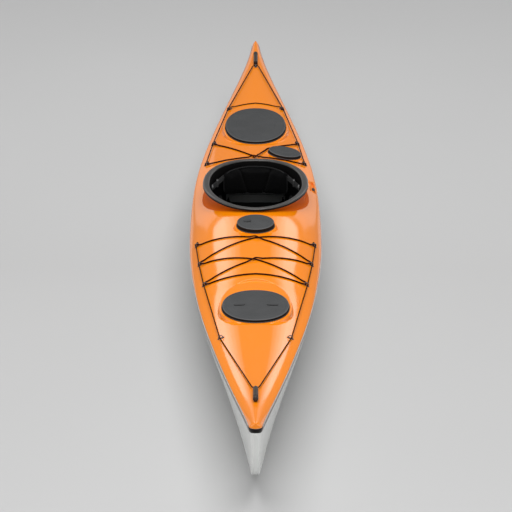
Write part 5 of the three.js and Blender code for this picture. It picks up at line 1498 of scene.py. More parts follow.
# ---------------------------------------------------------------- cords
@dataclass
class Cordage:
    """The elastic cords and the deck lines, along the same routes as their solids."""

    bungee: float = 3.0
    line: float = 2.2
    clearance: float = 1.1
    lane_height: float = 6.5
    bungee_lane: float = -3.1
    line_lane: float = 3.8
    run: float = 5.5
    turn: float = 13.0
    turn_in: float = 4.0
    knot_place: float = 11.0
    knot_shift: float = 1.6
    tail_place: float = 18.0
    crossing: float = 6.9

    def beside(self, key: str, side: int, s: float, f: float) -> Array:
        """A place beside a fitting: s outboard and f aft, at the lane's height."""
        return fitting_frame(key, side)([side * s, f, self.lane_height])

    def above(self, x_share: float, y_share: float, radius: float, lift: float = 0.0) -> Array:
        """A place on the deck, by shares of the half beam and of the length."""
        x, y = x_share * BEAM / 2, y_share * LENGTH
        return np.array([x, y, float(deck_z(x, y)) + radius + self.clearance + lift])

    def passage(self, key: str, side: int, lane: float, way: int, turn_in: float) -> list[Array]:
        """The way through a fitting, aft for way 1 and towards the bow for way -1."""
        through = [self.beside(key, side, lane, end * way * self.run) for end in (-1, 1)]
        if turn_in == 0:
            return through
        bends = [self.beside(key, side, lane - turn_in, k * way * self.turn) for k in (-1, 1)]
        return [bends[0], *through, bends[1]]

    def start(self, key: str, side: int, lane: float, way: int, turn_in: float) -> list[Array]:
        """A cord's tail, its knot and the way through its first fitting."""
        shift = lane + math.copysign(self.knot_shift, lane)
        tail = self.beside(key, side, shift * 1.2, -way * self.tail_place)
        knot = self.beside(key, side, shift, -way * self.knot_place)
        return [tail, knot, *self.passage(key, side, lane, way, turn_in)[1:]]

    @staticmethod
    def mirrored(points: list[Array]) -> list[Array]:
        """The same places on the other side, in the other order."""
        return [p * [-1, 1, 1] for p in reversed(points)]

    def knot(self, at: Array, towards: Array, radius: float) -> bpy.types.Object:
        """A drawn-up overhand knot round a cord."""
        t = np.linspace(0, 2 * np.pi, 60)
        flat = np.stack([
            np.sin(t) + 2 * np.sin(2 * t), np.cos(t) - 2 * np.cos(2 * t), -1.5 * np.sin(3 * t)], 1)
        z = towards / np.linalg.norm(towards)
        x = np.cross(z, [0, 0, 1.0])
        x /= np.linalg.norm(x)
        path = flat * radius * 0.4 @ np.stack([x, np.cross(z, x), z]) + at
        return tube("knot", path, radius * 0.78, 8)

    def string(self, name: str, points: list[Array], radius: float, shop: Workshop, finish: Finish) -> None:
        """Makes one cord with its knots, for the node of its name, and fits it."""
        rest = lambda x, y: deck_z(x, y) + radius + 0.35
        path = smooth_path(points, 4.0, 6.0, rest)
        path[:, 2] = np.maximum(path[:, 2], rest(path[:, 0], path[:, 1]))
        widths = np.full(len(path), radius)
        widths[:2] = widths[-2:] = radius * 0.86
        parts = [tube(f"cord_{name}", path, widths, 9)]
        for k, towards in ((1, points[2] - points[1]), (-2, points[-3] - points[-2])):
            parts.append(self.knot(points[k], towards, radius))
        length = float(np.linalg.norm(np.diff(path, axis=0), axis=1).sum()) * MM
        shop.fit(join(f"cord_{name}", parts), finish, "kayak", [name])
        log.info("%s: %.3f m of cord", name, length)

    def places(self, rows: tuple[Point, ...]) -> list[Array]:
        """Places on the deck from rows of shares and of the crossing's lift."""
        return [self.above(x, y, self.bungee, lift * self.crossing) for x, y, lift in rows]

    def fore_bungee(self) -> list[Array]:
        """The elastic cord that crosses before the cockpit."""
        through = lambda key, side, way: self.passage(key, side, self.bungee_lane, way, self.turn_in)
        via = lambda y, lift: self.above(0.0, y, self.bungee, lift)
        start = lambda side: self.start("fore_rear", side, self.bungee_lane, -1, self.turn_in)
        return [
            *start(1), via(-0.0805, 0), *through("fore_middle", -1, -1), via(-0.1285, 0),
            *through("fore_front", 1, -1), via(-0.1585, 0), *through("fore_front", -1, 1),
            via(-0.1285, self.crossing), *through("fore_middle", 1, 1), via(-0.0805, self.crossing),
            *reversed(start(-1)),
        ]

    def aft_bungee(self) -> list[Array]:
        """The elastic cord across the deck behind the cockpit."""
        start = self.start("aft_front", 1, self.bungee_lane, -1, self.turn_in)
        start += self.places(((0.47, 0.1603, 0), (0.22, 0.1615, 0)))
        middle = self.places((
            (0.108, 0.1622, 0), (0.032, 0.1624, 0.55), (-0.014, 0.1624, 1), (-0.044, 0.1624, 1),
            (-0.108, 0.1622, 0)))
        return [*start, *middle, *self.mirrored(start)]

    def hook_cord(self) -> list[Array]:
        """The elastic cord that hooks over the one before it."""
        start = lambda side: self.start("aft_middle", side, self.bungee_lane, -1, self.turn_in)
        port = self.places(((0.38, 0.2, 0), (0.19, 0.1895, 0), (0.05, 0.1672, 0.7)))
        middle = self.places((
            (0.032, 0.1624, 1.62), (0.021, 0.1606, 1.2), (0, 0.1598, 0.6), (-0.021, 0.1606, 0.1),
            (-0.028, 0.1624, 0), (-0.05, 0.1672, 0)))
        return [*start(1), *port, *middle, *reversed(start(-1))]

    def cross_line(self) -> list[Array]:
        """The cord across the deck before the stern hatch's far end."""
        start = self.start("aft_rear", 1, self.bungee_lane, 1, self.turn_in)
        return [*start, self.above(0.0, 0.3215, self.line), *self.mirrored(start)]

    def end_turn(self, share: float) -> list[Array]:
        """The deck line's turn through a fitting on the centre line, with its legs towards the cockpit."""
        place = centre_frame(share)
        rows = ((0, 0.36), (-0.08, 0.74), (-0.42, 1.02), (-1.05, 1.15))
        half = [place([self.line_lane - a * self.turn, math.copysign(b, share) * self.turn, self.lane_height])
                for a, b in rows]
        half.reverse()
        return [*half, *self.mirrored(half)]

    def deck_line(self, keys: tuple[str, ...], way: int, middle: list[Array],
                  extra: list[Array]) -> list[Array]:
        """A deck line along both sides and through the fitting at one end."""
        start = self.start(keys[0], 1, self.line_lane, way, 0)
        rest = [p for key in keys[1:] for p in self.passage(key, 1, self.line_lane, way, 0)]
        return [*start, *extra, *rest, *middle, *self.mirrored([*start, *rest])]

    def build(self, shop: Workshop) -> None:
        """Makes and fits every cord."""
        for name, points in (("fore_bungee", self.fore_bungee()), ("aft_bungee", self.aft_bungee()),
                             ("aft_bungee_hook", self.hook_cord())):
            self.string(name, points, self.bungee, shop, BUNGEE_BRAID)
        fore = self.deck_line(
            ("fore_rear", "fore_middle", "fore_front", "bow_side"), -1, self.end_turn(BOW_FITTING), [])
        bulge = self.above(0.757, 0.177, self.line, self.clearance)
        aft = self.deck_line(
            ("aft_front", "aft_middle", "aft_rear"), 1, self.end_turn(STERN_FITTING), [bulge])
        for name, points in (("aft_cross_line", self.cross_line()), ("fore_deck_line", fore),
                             ("aft_deck_line", aft)):
            self.string(name, points, self.line, shop, LINE_BRAID)


@dataclass
class Toggle:
    """A grab handle on a loop of cord, lying from its fitting towards the tip."""

    name: str
    share: float
    body: str
    node: str
    radius: float = 10.0
    standoff: float = 18.0
    lift: float = 2.4
    loop_radius: float = 2.0
    loop_lane: float = -3.1
    loop_height: float = 6.5
    # Reach aft, reach across and rise of half the loop, in shares of the standoff.
    loop_rows: tuple = (
        (0, 0.18, 0), (0.03, 0.31, 0), (0.2, 0.42, 0.04), (0.5, 0.44, 0.12), (0.95, 0.4, 0.26),
        (1.5, 0.28, 0.32))

    @staticmethod
    def profile() -> list[tuple[float, float]]:
        """Places along the handle, each with a share of its radius."""
        rows = [(0.0, 0.3), (0.3, 0.62), (1.4, 0.82), (3.4, 0.93), (6.0, 0.95), (40.0, 0.93), (70.0, 0.95),
                (104.0, 0.97)]
        for start in (108.0, 115.0, 122.0):
            rows += [(start, 0.98), (start + 1.0, 0.86), (start + 2.8, 0.86), (start + 3.8, 1.0)]
        return rows + [(133.0, 1.0), (136.4, 0.94), (138.6, 0.78), (139.7, 0.5), (140.0, 0.2)]

    def build(self, shop: Workshop) -> None:
        """Makes and fits the handle and its loop."""
        place = centre_frame(self.share)
        around = turns(32)
        rings = []
        for at, share in self.profile():
            r = self.radius * share
            rings.append(np.stack([
                np.full(len(around), self.loop_lane - self.standoff - at), r * np.cos(around),
                self.radius + self.lift + r * np.sin(around)], 1))
        handle = loft(f"{self.name}_handle", place(np.array(rings)), angle=45.0)
        base = np.array([self.loop_lane, 0.0, self.loop_height])
        half = [place(base + self.standoff * np.array([-a, c, u])) for a, c, u in self.loop_rows]
        path = smooth_path([*reversed(half), *(p * [-1, 1, 1] for p in half)], 1.0, 3.0)
        loop = tube(f"{self.name}_loop", path, self.loop_radius, 10)
        shop.fit(handle, TOGGLE_GREY, self.body, [self.node])
        shop.fit(loop, LINE_BRAID, self.body)


# ---------------------------------------------------------------- skeg and slider
def softened(node: str, name: str, width: float, angle: float = 30.0) -> bpy.types.Object:
    """A copy of a frame node with its sharp edges rounded over."""
    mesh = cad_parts[node].data.copy()
    welded(mesh, WELD, lambda bm: bmesh.ops.dissolve_limit(
        bm, angle_limit=math.radians(1.0), verts=bm.verts, edges=bm.edges))
    obj = link(name, mesh, angle)
    modify(obj, "BEVEL", width=width * MM, segments=2, limit_method="ANGLE",
           angle_limit=math.radians(angle), harden_normals=False)
    return applied(obj)


def spline(points: list, spacing: float) -> Array:
    """A smooth curve through points, sampled about evenly."""
    points = np.asarray(points, float)
    padded = np.concatenate([[2 * points[0] - points[1]], points, [2 * points[-1] - points[-2]]])
    out = []
    for k in range(len(points) - 1):
        a, b, c, d = padded[k:k + 4]
        count = max(2, int(np.linalg.norm(c - b) / spacing))
        for t in np.linspace(0, 1, count, endpoint=False):
            out.append(0.5 * (2 * b + (c - a) * t + (2 * a - 5 * b + 4 * c - d) * t * t
                              + (3 * b - a - 3 * c + d) * t ** 3))
    return np.array([*out, points[-1]])


@dataclass
class Skeg:
    """The blade, its pin and box, the slider that works it and the cable tube between."""

    pivot_y: float = 0.328 * LENGTH
    pivot_z: float = 52.0
    length: float = 318.0
    nose: float = 24.0
    tip: float = 96.0
    thickness: float = 7.0
    knob: tuple[float, float, float] = (13.0, 26.0, 13.0)
    knob_back: float = 38.0
    track_floor: float = 1.6
    tube_radius: float = 3.5
    box_reach: float = 18.0

    def blade(self) -> bpy.types.Object:
        """The blade: a flat foil with a thin edge and a round nose."""
        turn = np.radians(np.arange(270, 89, -12))
        outline = [(self.nose * math.cos(a), self.nose * math.sin(a)) for a in turn]
        top = self.tip - self.nose
        outline += [tuple(p) for p in spline([
            (0, self.nose), (self.length * 0.4, self.nose + 30), (self.length * 0.8, top + self.nose / 2 - 2),
            (self.length * 0.93, top - 2), (self.length * 0.985, -self.nose / 2),
            (self.length * 0.94, -self.nose)], 12.0)[1:]]
        outline = np.array(outline)
        middle = outline.mean(0)
        rings = []
        half = self.thickness / 2
        levels = ((0.0, 0.25), (1.2, 0.55), (3.2, 0.8), (7.0, 0.95), (13.0, 1.0))
        for sign in (-1, 1):
            for inset, share in (reversed(levels) if sign < 0 else levels):
                away = outline - middle
                reach = np.linalg.norm(away, axis=1)[:, None]
                flat = middle + away * (1 - inset / reach)
                rings.append(np.stack([
                    np.full(len(flat), sign * half * share), self.pivot_y + flat[:, 0],
                    self.pivot_z + flat[:, 1]], 1))
        return loft("skeg_foil", np.array(rings), angle=30.0)

    def thumb(self) -> bpy.types.Object:
        """The slider's knob, with ridges for the thumb."""
        width, length, height = self.knob
        low = -TRACK_DEPTH + self.track_floor + GAP
        turn = turns(48)
        rings = []
        for inset, z in ((0, 0), (0, 9.5), (0.3, 11.0), (1.0, 12.2), (2.0, 12.8), (3.2, 13.0), (4.6, 12.9)):
            flat = oval(turn, width / 2 - inset, length / 2 - inset, 3.0)
            ridge = (0.55 * np.cos(flat[:, 1] * np.pi / 2) - 0.4) * (inset > 1.5)
            rings.append(level(flat - [0, self.knob_back], low + z * height / 13.0 + ridge))
        return loft("skeg_thumb_slider", SLIDER_FRAME(np.array(rings)), angle=45.0)

    def cable(self) -> bpy.types.Object:
        """The tube that the cable runs in."""
        start = SLIDER_FRAME([0, TRACK_HALF / 2, -TRACK_DEPTH - GAP - self.tube_radius])
        rows = ((0.82, 0.131, 0.93), (0.75, 0.145, 0.86), (0.71, 0.16, 0.83), (0.65, 0.18, 0.82),
                (0.56, 0.205, 0.82), (0.42, 0.24, 0.8), (0.27, 0.27, 0.76), (0.12, 0.296, 0.68),
                (0.03, 0.309, 0.6), (0, 0.314, 0.56))
        points = [start, *([x * BEAM / 2, y * LENGTH, z * SEAM_HEIGHT] for x, y, z in rows)]
        points.append([0, self.pivot_y - self.nose - self.box_reach - GAP, 0.56 * SEAM_HEIGHT])
        return tube("skeg_cable_sleeve", spline(points, 8.0), self.tube_radius, 12)

    def build(self, shop: Workshop) -> None:
        """Makes and fits the skeg's pieces."""
        shop.fit(self.blade(), FITTING_BLACK, "skeg", ["skeg_blade"])
        shop.fit(self.thumb(), FITTING_BLACK, "skeg_knob", ["skeg_slider"])
        shop.fit(self.cable(), FITTING_BLACK, "kayak", ["skeg_cable_tube"])
        track = softened("skeg_slider_track", "slider_trough", 0.6)
        shop.fit(track, DECK_SATIN, "kayak", ["skeg_slider_track"])
        shop.keep("skeg_box", BOARD)
        shop.keep("skeg_pivot_pin", STEEL)


# ---------------------------------------------------------------- inside the cockpit
SEAT_Y = COCKPIT_Y + 0.112 * COCKPIT_HALF_LENGTH
SEAT_LENGTH = 345.0
BAND_Y = COCKPIT_Y + 0.858 * COCKPIT_HALF_LENGTH
BAND_TALL = 64.0
BAND_Z = SEAM_HEIGHT + 88.0 - BAND_TALL
BAND_HALF = 141.0
BAND_WRAP = 60.0
STRAP_Y = COCKPIT_Y + 0.317 * COCKPIT_HALF_LENGTH
STRAP_Z = SEAM_HEIGHT + 56.0


def wrap_back(x: Array) -> Array:
    """How far aft the back band lies at x."""
    return BAND_Y - BAND_WRAP * (x / BAND_HALF) ** 2


@dataclass
class Seat:
    """The moulded seat pan with its raised cheeks."""

    rows: tuple = (
        (0, 0.88, 1.9, 0.06), (0.12, 0.96, 1.3, 0.4), (0.32, 1, 1, 2), (0.46, 1, 1, 2),
        (0.62, 1, 1, 2), (0.8, 1, 1.2, 0.56), (0.92, 0.97, 2.1, 0.3), (1, 0.9, 3.6, 0.1),
    )
    rear_half: float = 132.0
    base_height: float = 38.0
    side_rise: float = 250.0
    wall: float = 4.0
    rim_gap: float = 1.8
    edge: float = 1.4

    def build(self, shop: Workshop) -> None:
        """Makes and fits the seat."""
        table = np.array(self.rows, float)
        width, base, side = (Run(list(zip(table[:, 0], table[:, k]))) for k in (1, 2, 3))
        across = Run([(0, 0), (0.3, 0.5), (0.52, 0.82), (0.64, 0.95), (0.8, 1.0), (1.0, 1.0)])
        upward = Run([(0, 0), (0.3, 0.0), (0.52, 0.06), (0.64, 0.22), (0.8, 0.5), (1.0, 1.0)])
        t = np.concatenate([-np.linspace(1, 0, 30, endpoint=False), np.linspace(0, 1, 31)])
        rings = []
        for share in np.linspace(0, 1, 70):
            y = SEAT_Y + SEAT_LENGTH * share
            half = float(width(share)) * max(float(cockpit_x(y)) + HEM, self.rear_half)
            floor = float(base(share)) * self.base_height
            top = float(deck_z(cockpit_x(y), y)) - COAMING_FOOT - self.rim_gap
            high = min(floor + float(side(share)) * self.side_rise, top)
            x = np.sign(t) * across(np.abs(t)) * half
            z = floor + upward(np.abs(t)) * (high - floor)
            rings.append(np.stack([x, np.full(len(t), y), z], 1))
        grid = np.array(rings)
        faces = grid_faces(grid.shape[0], grid.shape[1], False, False)
        pan = mesh_object("seat_shell", grid.reshape(-1, 3), faces, 50.0, closed=False)
        faces_up = pan.data.polygons[len(faces) // 2].normal.z > 0
        modify(pan, "SOLIDIFY", thickness=self.wall * MM, offset=1.0 if faces_up else -1.0)
        modify(pan, "BEVEL", width=self.edge * MM, segments=3, limit_method="ANGLE",
               angle_limit=math.radians(50))
        shop.fit(applied(pan), SEAT_BLACK, "kayak", ["seat_pan"])


@dataclass
class Padding:
    """The soft pieces: the back band and the two hip pads."""

    voxel: float = 4.0
    pressure: float = 4.0
    frames: int = 20
    channel_share: float = 0.36
    channel_lean: float = 0.3
    channel_depth: float = 5.0
    strap_wall: float = 1.5
    bolt_depth: float = 4.9

    def channel_x(self, side: int, z: Array | float) -> Array | float:
        """How far across one of the back band's two sewn channels lies, at z."""
        return side * (self.channel_share * BAND_HALF + (z - BAND_Z) * self.channel_lean)

    def swollen(self, node: str, name: str, cap: float, hold: Callable[[Array], Array]) -> bpy.types.Object:
        """A pad blown up like a stuffed one, from its solid.

        Args:
            node: the frame's solid.
            name: the pad's name.
            cap: how far a point may move, in millimetres.
            hold: gives each point's share of the cap, by its place.

        Returns:
            The pad.
        """
        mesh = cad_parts[node].data.copy()
        welded(mesh, WELD, lambda bm: bmesh.ops.recalc_face_normals(bm, faces=bm.faces))
        pad = link(name, mesh, 180.0)
        pad.data.materials.clear()
        modify(pad, "REMESH", mode="VOXEL", voxel_size=self.voxel * MM)
        applied(pad)
        modify(pad, "SMOOTH", iterations=3)
        applied(pad)
        start = np.array([v.co for v in pad.data.vertices])
        cloth = modify(pad, "CLOTH").settings
        cloth.use_pressure = True
        cloth.uniform_pressure_force = self.pressure
        cloth.effector_weights.gravity = 0.0
        cloth.quality = 5
        scene = bpy.context.scene
        for step in range(1, self.frames + 1):
            scene.frame_set(step)
        applied(pad)
        scene.frame_set(1)
        moved = np.array([v.co for v in pad.data.vertices]) - start
        reach = np.linalg.norm(moved, axis=1)
        limit = cap * MM * hold(start / MM)
        moved *= np.minimum(1, limit / np.maximum(reach, 1e-9))[:, None]
        pad.data.vertices.foreach_set("co", (start + moved).ravel())
        return pad

    @staticmethod
    def rounded_off(pad: bpy.types.Object) -> bpy.types.Object:
        """Adds one subdivision and smooth shading."""
        modify(pad, "SUBSURF", levels=1, render_levels=1)
        applied(pad)
        pad.data.shade_smooth()
        return pad

    def back(self, shop: Workshop, scatter: Scatter) -> None:
        """The back band: three panels with sewn channels, piping and stitches."""
        front_most = lambda p: np.where(p[:, 1] < wrap_back(p[:, 0]), 1.0, 0.4)
        pad = self.rounded_off(self.swollen("back_band", "back_pad", 5.0, front_most))
        points = np.array([v.co for v in pad.data.vertices]) / MM
        for side in (-1, 1):
            away = points[:, 0] - self.channel_x(side, points[:, 2])
            front = points[:, 1] < wrap_back(points[:, 0])
            points[:, 1] += np.where(front, self.channel_depth * np.exp(-(away / 3.2) ** 2), 0.0)
        pad.data.vertices.foreach_set("co", (points * MM).ravel())
        pad.data.update()
        shop.fit(pad, PAD_FABRIC, "back_rest", ["back_band"])
        t = np.linspace(0, 2 * np.pi, 220)
        x = BAND_HALF * 0.975 * signed_power(np.cos(t), 2 / 5)
        tall = BAND_TALL * 0.985 * (1 - 0.16 * (x / BAND_HALF) ** 2)
        z = BAND_Z + tall * signed_power(np.sin(t), 2 / 5)
        path = np.stack([x, wrap_back(x) - 1.0, z], 1)
        piping = tube("back_pad_piping", path, 2.6, 8)
        shop.fit(piping, STRAP_WEAVE, "back_rest")
        places = []
        for side in (-1, 1):
            for z in np.arange(BAND_Z - 44.0, BAND_Z + 45.0, 6.0):
                x = self.channel_x(side, z)
                places.append(Frame(np.array([x, self.front_of(points, x, z) - 0.2, z]), np.eye(3)))
        bow = [[0, 0, -1.8], [0, -0.5, -0.9], [0, -0.6, 0], [0, -0.5, 0.9], [0, 0, 1.8]]
        stitch = tube("stitch", np.array(bow), 0.5, 6)
        seams = scatter("back_pad_stitches", stitch, places, STRAP_WEAVE.material(shop.patterns))
        shop.fit(seams, STRAP_WEAVE, "back_rest")

    @staticmethod
    def front_of(points: Array, x: float, z: float) -> float:
        """How far forward a pad's face lies at x and z."""
        near = (np.abs(points[:, 0] - x) < 4.0) & (np.abs(points[:, 2] - z) < 4.0)
        near &= points[:, 1] < wrap_back(points[:, 0])
        if not near.any():
            return float(wrap_back(x)) - 10.0
        chosen = points[near]
        best = np.argmin((chosen[:, 0] - x) ** 2 + (chosen[:, 2] - z) ** 2)
        return float(chosen[best, 1])

    def hips(self, shop: Workshop) -> None:
        """The two hip pads, which lie on the seat's cheeks."""
        for name, side in SIDES:
            inner = lambda p, side=side: np.clip((178.0 - side * p[:, 0]) / 14.0, 0.08, 1.0)
            pad = self.rounded_off(self.swollen(f"hip_pad_{name}", f"hip_cushion_{name}", 4.0, inner))
            shop.fit(pad, PAD_FABRIC, "kayak", [f"hip_pad_{name}"])

    def strap(self, shop: Workshop, name: str, side: int) -> None:
        """A strap of webbing from its bolt to the pad's wing, with a buckle on it."""
        from_x = float(cockpit_x(STRAP_Y + 13.0)) - 1.2 - self.strap_wall
        to_x = BAND_HALF - self.strap_wall
        wing = max(0.18, (1 - (to_x / BAND_HALF) ** 6) ** 0.5)
        to_y = float(wrap_back(to_x)) - 15.0 * wing - GAP
        along = np.linspace(0, 1, 26)
        x = from_x + (to_x - from_x) * along
        y = STRAP_Y + (to_y - STRAP_Y) * along
        section = np.array([(-1.3, -12.5), (1.3, -12.5), (1.5, -12.2), (1.5, 12.2), (1.3, 12.5), (-1.3, 12.5),
                            (-1.5, 12.2), (-1.5, -12.2)])
        rings = [np.stack([side * (a + section[:, 0]), np.full(len(section), b),
                           STRAP_Z + section[:, 1]], 1) for a, b in zip(x, y)]
        band = loft(f"back_strap_{name}", np.array(rings), angle=40.0)
        turn = turns(28)
        bolt = []
        for radius, reach in ((13.0, self.bolt_depth), (13.0, 1.4), (12.2, 0.6), (7.4, 0.5), (7.0, -1.2),
                              (5.6, -2.4), (2.5, -2.9)):
            at = side * (from_x + self.strap_wall - self.bolt_depth + reach)
            bolt.append(np.stack([np.full(len(turn), at), STRAP_Y + radius * np.cos(turn),
                                  STRAP_Z + radius * np.sin(turn)], 1))
        anchor = loft(f"strap_anchor_{name}", np.array(bolt), angle=35.0)
        middle = [side * float(np.interp(0.45, along, x)), float(np.interp(0.45, along, y)), STRAP_Z]
        buckle = []
        for inset, depth in ((1.2, -4.4), (0.2, -3.4), (0.0, 0.0), (0.2, 3.4), (1.2, 4.4)):
            flat = rounded_bar(11.0 - inset, 16.0 - inset, 3.0)
            buckle.append(np.stack([middle[0] + np.full(len(flat), depth), middle[1] + flat[:, 0],
                                    middle[2] + flat[:, 1]], 1))
        lock = loft(f"strap_buckle_{name}", np.array(buckle), angle=35.0)
        shop.fit(band, STRAP_WEAVE, "back_rest", [f"back_band_strap_{name}"])
        shop.fit(anchor, FITTING_BLACK, "back_rest")
        shop.fit(lock, FITTING_BLACK, "back_rest")

    def build(self, shop: Workshop, scatter: Scatter) -> None:
        """Makes and fits every soft piece."""
        self.back(shop, scatter)
        self.hips(shop)
        for name, side in SIDES:
            self.strap(shop, name, side)


@dataclass
class Footrests:
    """The rails and pedals, with the notches that a pedal locks into."""

    rail_y: float = -0.078 * LENGTH
    rail_z: float = 0.625 * SEAM_HEIGHT
    face_x: float = 216.0
    notch_step: float = 12.0
    notch_rise: float = 9.3

    def build(self, shop: Workshop, scatter: Scatter) -> None:
        """Makes and fits both sides."""
        for name, side in SIDES:
            rail = softened(f"foot_rail_{name}", f"foot_track_{name}", 1.0)
            shop.fit(rail, FITTING_BLACK, "kayak", [f"foot_rail_{name}"])
            pedal = softened(f"foot_pedal_{name}", f"foot_plate_{name}", 1.6)
            shop.fit(pedal, FITTING_BLACK, f"pedal_{name}", [f"foot_pedal_{name}"])
            places = [
                Frame(np.array([side * self.face_x, self.rail_y + k * self.notch_step,
                                self.rail_z + self.notch_rise]), np.eye(3)) for k in range(-14, 15)]
            notch = loft("notch", np.array([
                np.column_stack([np.full(8, x), oval(turns(8), 2.6 - i, 1.6 - i, 3.0)])
                for x, i in ((-0.9, 0.5), (-0.6, 0.0), (0.9, 0.0))]))
            notches = scatter(
                f"foot_track_notches_{name}", notch, places, FITTING_BLACK.material(shop.patterns))
            shop.fit(notches, FITTING_BLACK, "kayak")


@dataclass
class Inside:
    """The bulkheads and the small pod under the deck hatch."""

    def pod(self) -> bpy.types.Object:
        """The pod: a deep cup hung under the deck hatch's rim."""
        top, deep, wall, taper = -16.3, 118.0, 3.0, 14.0
        wide = RIM_OUTER
        rings = [DECK_HATCH.ring(wide - taper, top - deep, shrink=k) for k in (0.02, 0.5, 0.9)]
        rings += [DECK_HATCH.ring(wide - taper - 1.0, top - deep + 0.4),
                  DECK_HATCH.ring(wide - taper + 0.4, top - deep + 3.0), DECK_HATCH.ring(wide, top),
                  DECK_HATCH.ring(wide - wall, top),
                  DECK_HATCH.ring(wide - wall - taper + 1.2, top - deep + wall + 8.0),
                  DECK_HATCH.ring(wide - wall - taper - 1.8, top - deep + wall + 1.4)]
        rings += [DECK_HATCH.ring(wide - wall - taper, top - deep + wall, shrink=k)
                  for k in (0.86, 0.5, 0.02)]
        return loft("day_pod", np.array(rings), angle=50.0)

    def build(self, shop: Workshop) -> None:
        """Makes and fits the pod, and finishes the bulkheads."""
        shop.fit(self.pod(), SEAT_BLACK, "kayak", ["deck_pod"])
        for name in ("front_bulkhead", "rear_bulkhead", "day_bulkhead"):
            shop.keep(name, BOARD)


# ---------------------------------------------------------------- studio
PHOTO_SIDE = 512


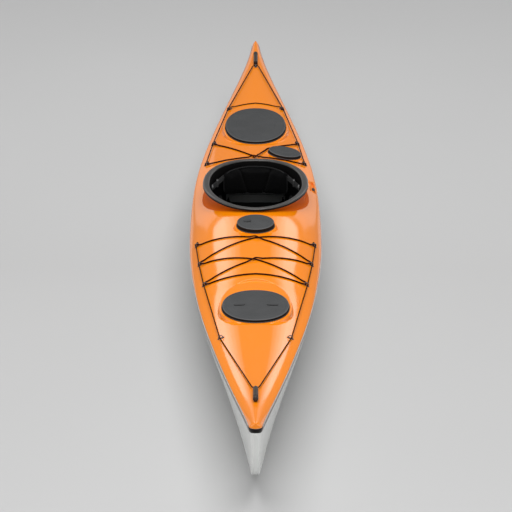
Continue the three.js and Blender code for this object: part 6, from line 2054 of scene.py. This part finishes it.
@dataclass
class Studio:
    """The pale floor, the backdrop, the lamps and the camera."""

    distance: float = 16.0
    elevation: float = 19.05
    aim: Point = (0.0, 0.0, 0.25)
    focus: float = 3808.0
    middle: tuple[float, float] = (255.6, 228.4)

    def camera(self) -> None:
        """The camera at the photograph's angle."""
        data = bpy.data.cameras.new("camera")
        data.sensor_width = 36.0
        data.lens = self.focus / PHOTO_SIDE * data.sensor_width
        data.shift_x = (PHOTO_SIDE / 2 - self.middle[0]) / PHOTO_SIDE
        data.shift_y = (self.middle[1] - PHOTO_SIDE / 2) / PHOTO_SIDE
        data.clip_end = 200.0
        camera = placed("camera", data)
        angle = math.radians(self.elevation)
        away = Vector((0, -math.cos(angle), math.sin(angle))) * self.distance
        camera.location = Vector(self.aim) + away
        camera.rotation_euler = (-away).to_track_quat("-Z", "Y").to_euler()
        bpy.context.scene.camera = camera

    def floor(self) -> None:
        """A seamless sheet: the floor, swept up behind into the backdrop."""
        far, reach, radius = 14.0, 30.0, 6.0
        path = [(-26.0, 0.0), (0.0, 0.0), (far, 0.0)]
        for k in range(1, 13):
            turn = math.pi / 2 * k / 12
            path.append((far + radius * math.sin(turn), radius * (1 - math.cos(turn))))
        path.append((far + radius, 24.0))
        verts = [(x / MM, y / MM, z / MM) for y, z in path for x in (-reach, reach)]
        faces = [[2 * i, 2 * i + 1, 2 * i + 3, 2 * i + 2] for i in range(len(path) - 1)]
        sheet = mesh_object("studio_floor", np.array(verts), faces, 60.0, closed=False)
        mat = bpy.data.materials.new("studio_paper")
        mat.use_nodes = True
        tree = mat.node_tree
        place = node(tree, "ShaderNodeTexCoord").outputs["Object"]
        # Painted light: the paper's grey ramps along its length, laying a front-to-back light gradient over
        # the floor and backdrop.
        painted_light_ramp = node(tree, "ShaderNodeValToRGB", {
            "Fac": spread(tree, split_up(tree, place)["Y"], from_min=-4.0, from_max=8.0)})
        painted_light_ramp.color_ramp.elements.new(0.35)
        for element, grey in zip(painted_light_ramp.color_ramp.elements, (0.575, 0.53, 0.77)):
            element.color = (grey, grey, grey, 1.0)
        noise = node(tree, "ShaderNodeTexNoise", {"Vector": place, "Scale": 0.35})
        mix = node(tree, "ShaderNodeMix", {
            "Factor": noise.outputs["Fac"], COLOUR_A: painted_light_ramp.outputs["Color"],
            COLOUR_B: (0.93, 0.93, 0.93, 1.0)}, data_type="RGBA", blend_type="MULTIPLY")
        feed(tree.nodes["Principled BSDF"], {
            "Base Color": mix.outputs[COLOUR_RESULT], "Roughness": 0.95, "Specular IOR Level": 0.1})
        sheet.data.materials.append(mat)

    def lamp(self, name: str, place: Point, size: tuple[float, float], power: float,
             aim: Point = (0.0, 0.0, 0.2)) -> None:
        """A soft box that faces a point."""
        data = bpy.data.lights.new(name, "AREA")
        data.shape = "RECTANGLE"
        data.size, data.size_y = size
        data.energy = power
        lamp = placed(name, data)
        lamp.location = place
        lamp.rotation_euler = (Vector(aim) - Vector(place)).to_track_quat("-Z", "Y").to_euler()

    def build(self) -> None:
        """Sets up the whole studio."""
        self.camera()
        self.floor()
        world = bpy.data.worlds.new("studio")
        world.use_nodes = True
        world.node_tree.nodes["Background"].inputs["Color"].default_value = (1, 1, 1, 1)
        world.node_tree.nodes["Background"].inputs["Strength"].default_value = 0.26
        bpy.context.scene.world = world
        self.lamp("overhead", (0.0, -1.2, 5.5), (6.0, 10.0), 425.0, (0.0, -1.2, 0.0))
        self.lamp("front_fill", (0.0, -10.0, 3.2), (10.0, 3.4), 200.0)
        for side in (-1, 1):
            self.lamp(f"side_fill_{side}", (side * 8.0, -2.0, 1.7), (11.0, 2.6), 95.0, (0.0, -2.0, 0.1))
            self.lamp(f"low_strip_{side}", (side * 2.0, 7.5, 1.1), (1.4, 1.6), 2.4, (side * 2.0, 0.0, 1.1))
        # Reach across of each strip of the two reflectors behind the stern, and its strength.
        strips = ((1.0, 1.25, 0.35), (1.25, 1.5, 0.7), (1.5, 1.75, 1.1), (1.75, 2.45, 1.5))
        for inner, outer, strength in strips:
            width, height = outer - inner, 1.9
            for side in (-1, 1):
                place = (side * (inner + outer) / 2, 7.4, 3.3)
                power = math.pi * width * height * strength
                self.lamp(f"strip_{side}_{inner}", place, (width, height), power, (place[0], 0.0, 3.3))
        bpy.context.scene.view_settings.view_transform = "Standard"


def main() -> None:
    """Builds the sub-assemblies in order and reports each piece."""
    logging.basicConfig(level=logging.INFO, format="%(message)s")
    Studio().build()
    shop = Workshop()
    Skins().build(shop)
    Edges().build(shop)
    Coaming().build(shop)
    for hatch in HATCHES:
        HatchWork(hatch).build(shop)
    scatter = Scatter()
    Fittings().build(shop, scatter)
    Cordage().build(shop)
    Toggle("bow_grab", BOW_FITTING, "toggle_bow", "bow_toggle").build(shop)
    Toggle("stern_grab", STERN_FITTING, "toggle_stern", "stern_toggle").build(shop)
    Skeg().build(shop)
    Seat().build(shop)
    Padding().build(shop, scatter)
    Footrests().build(shop, scatter)
    Inside().build(shop)


if __name__ == "__main__":
    main()
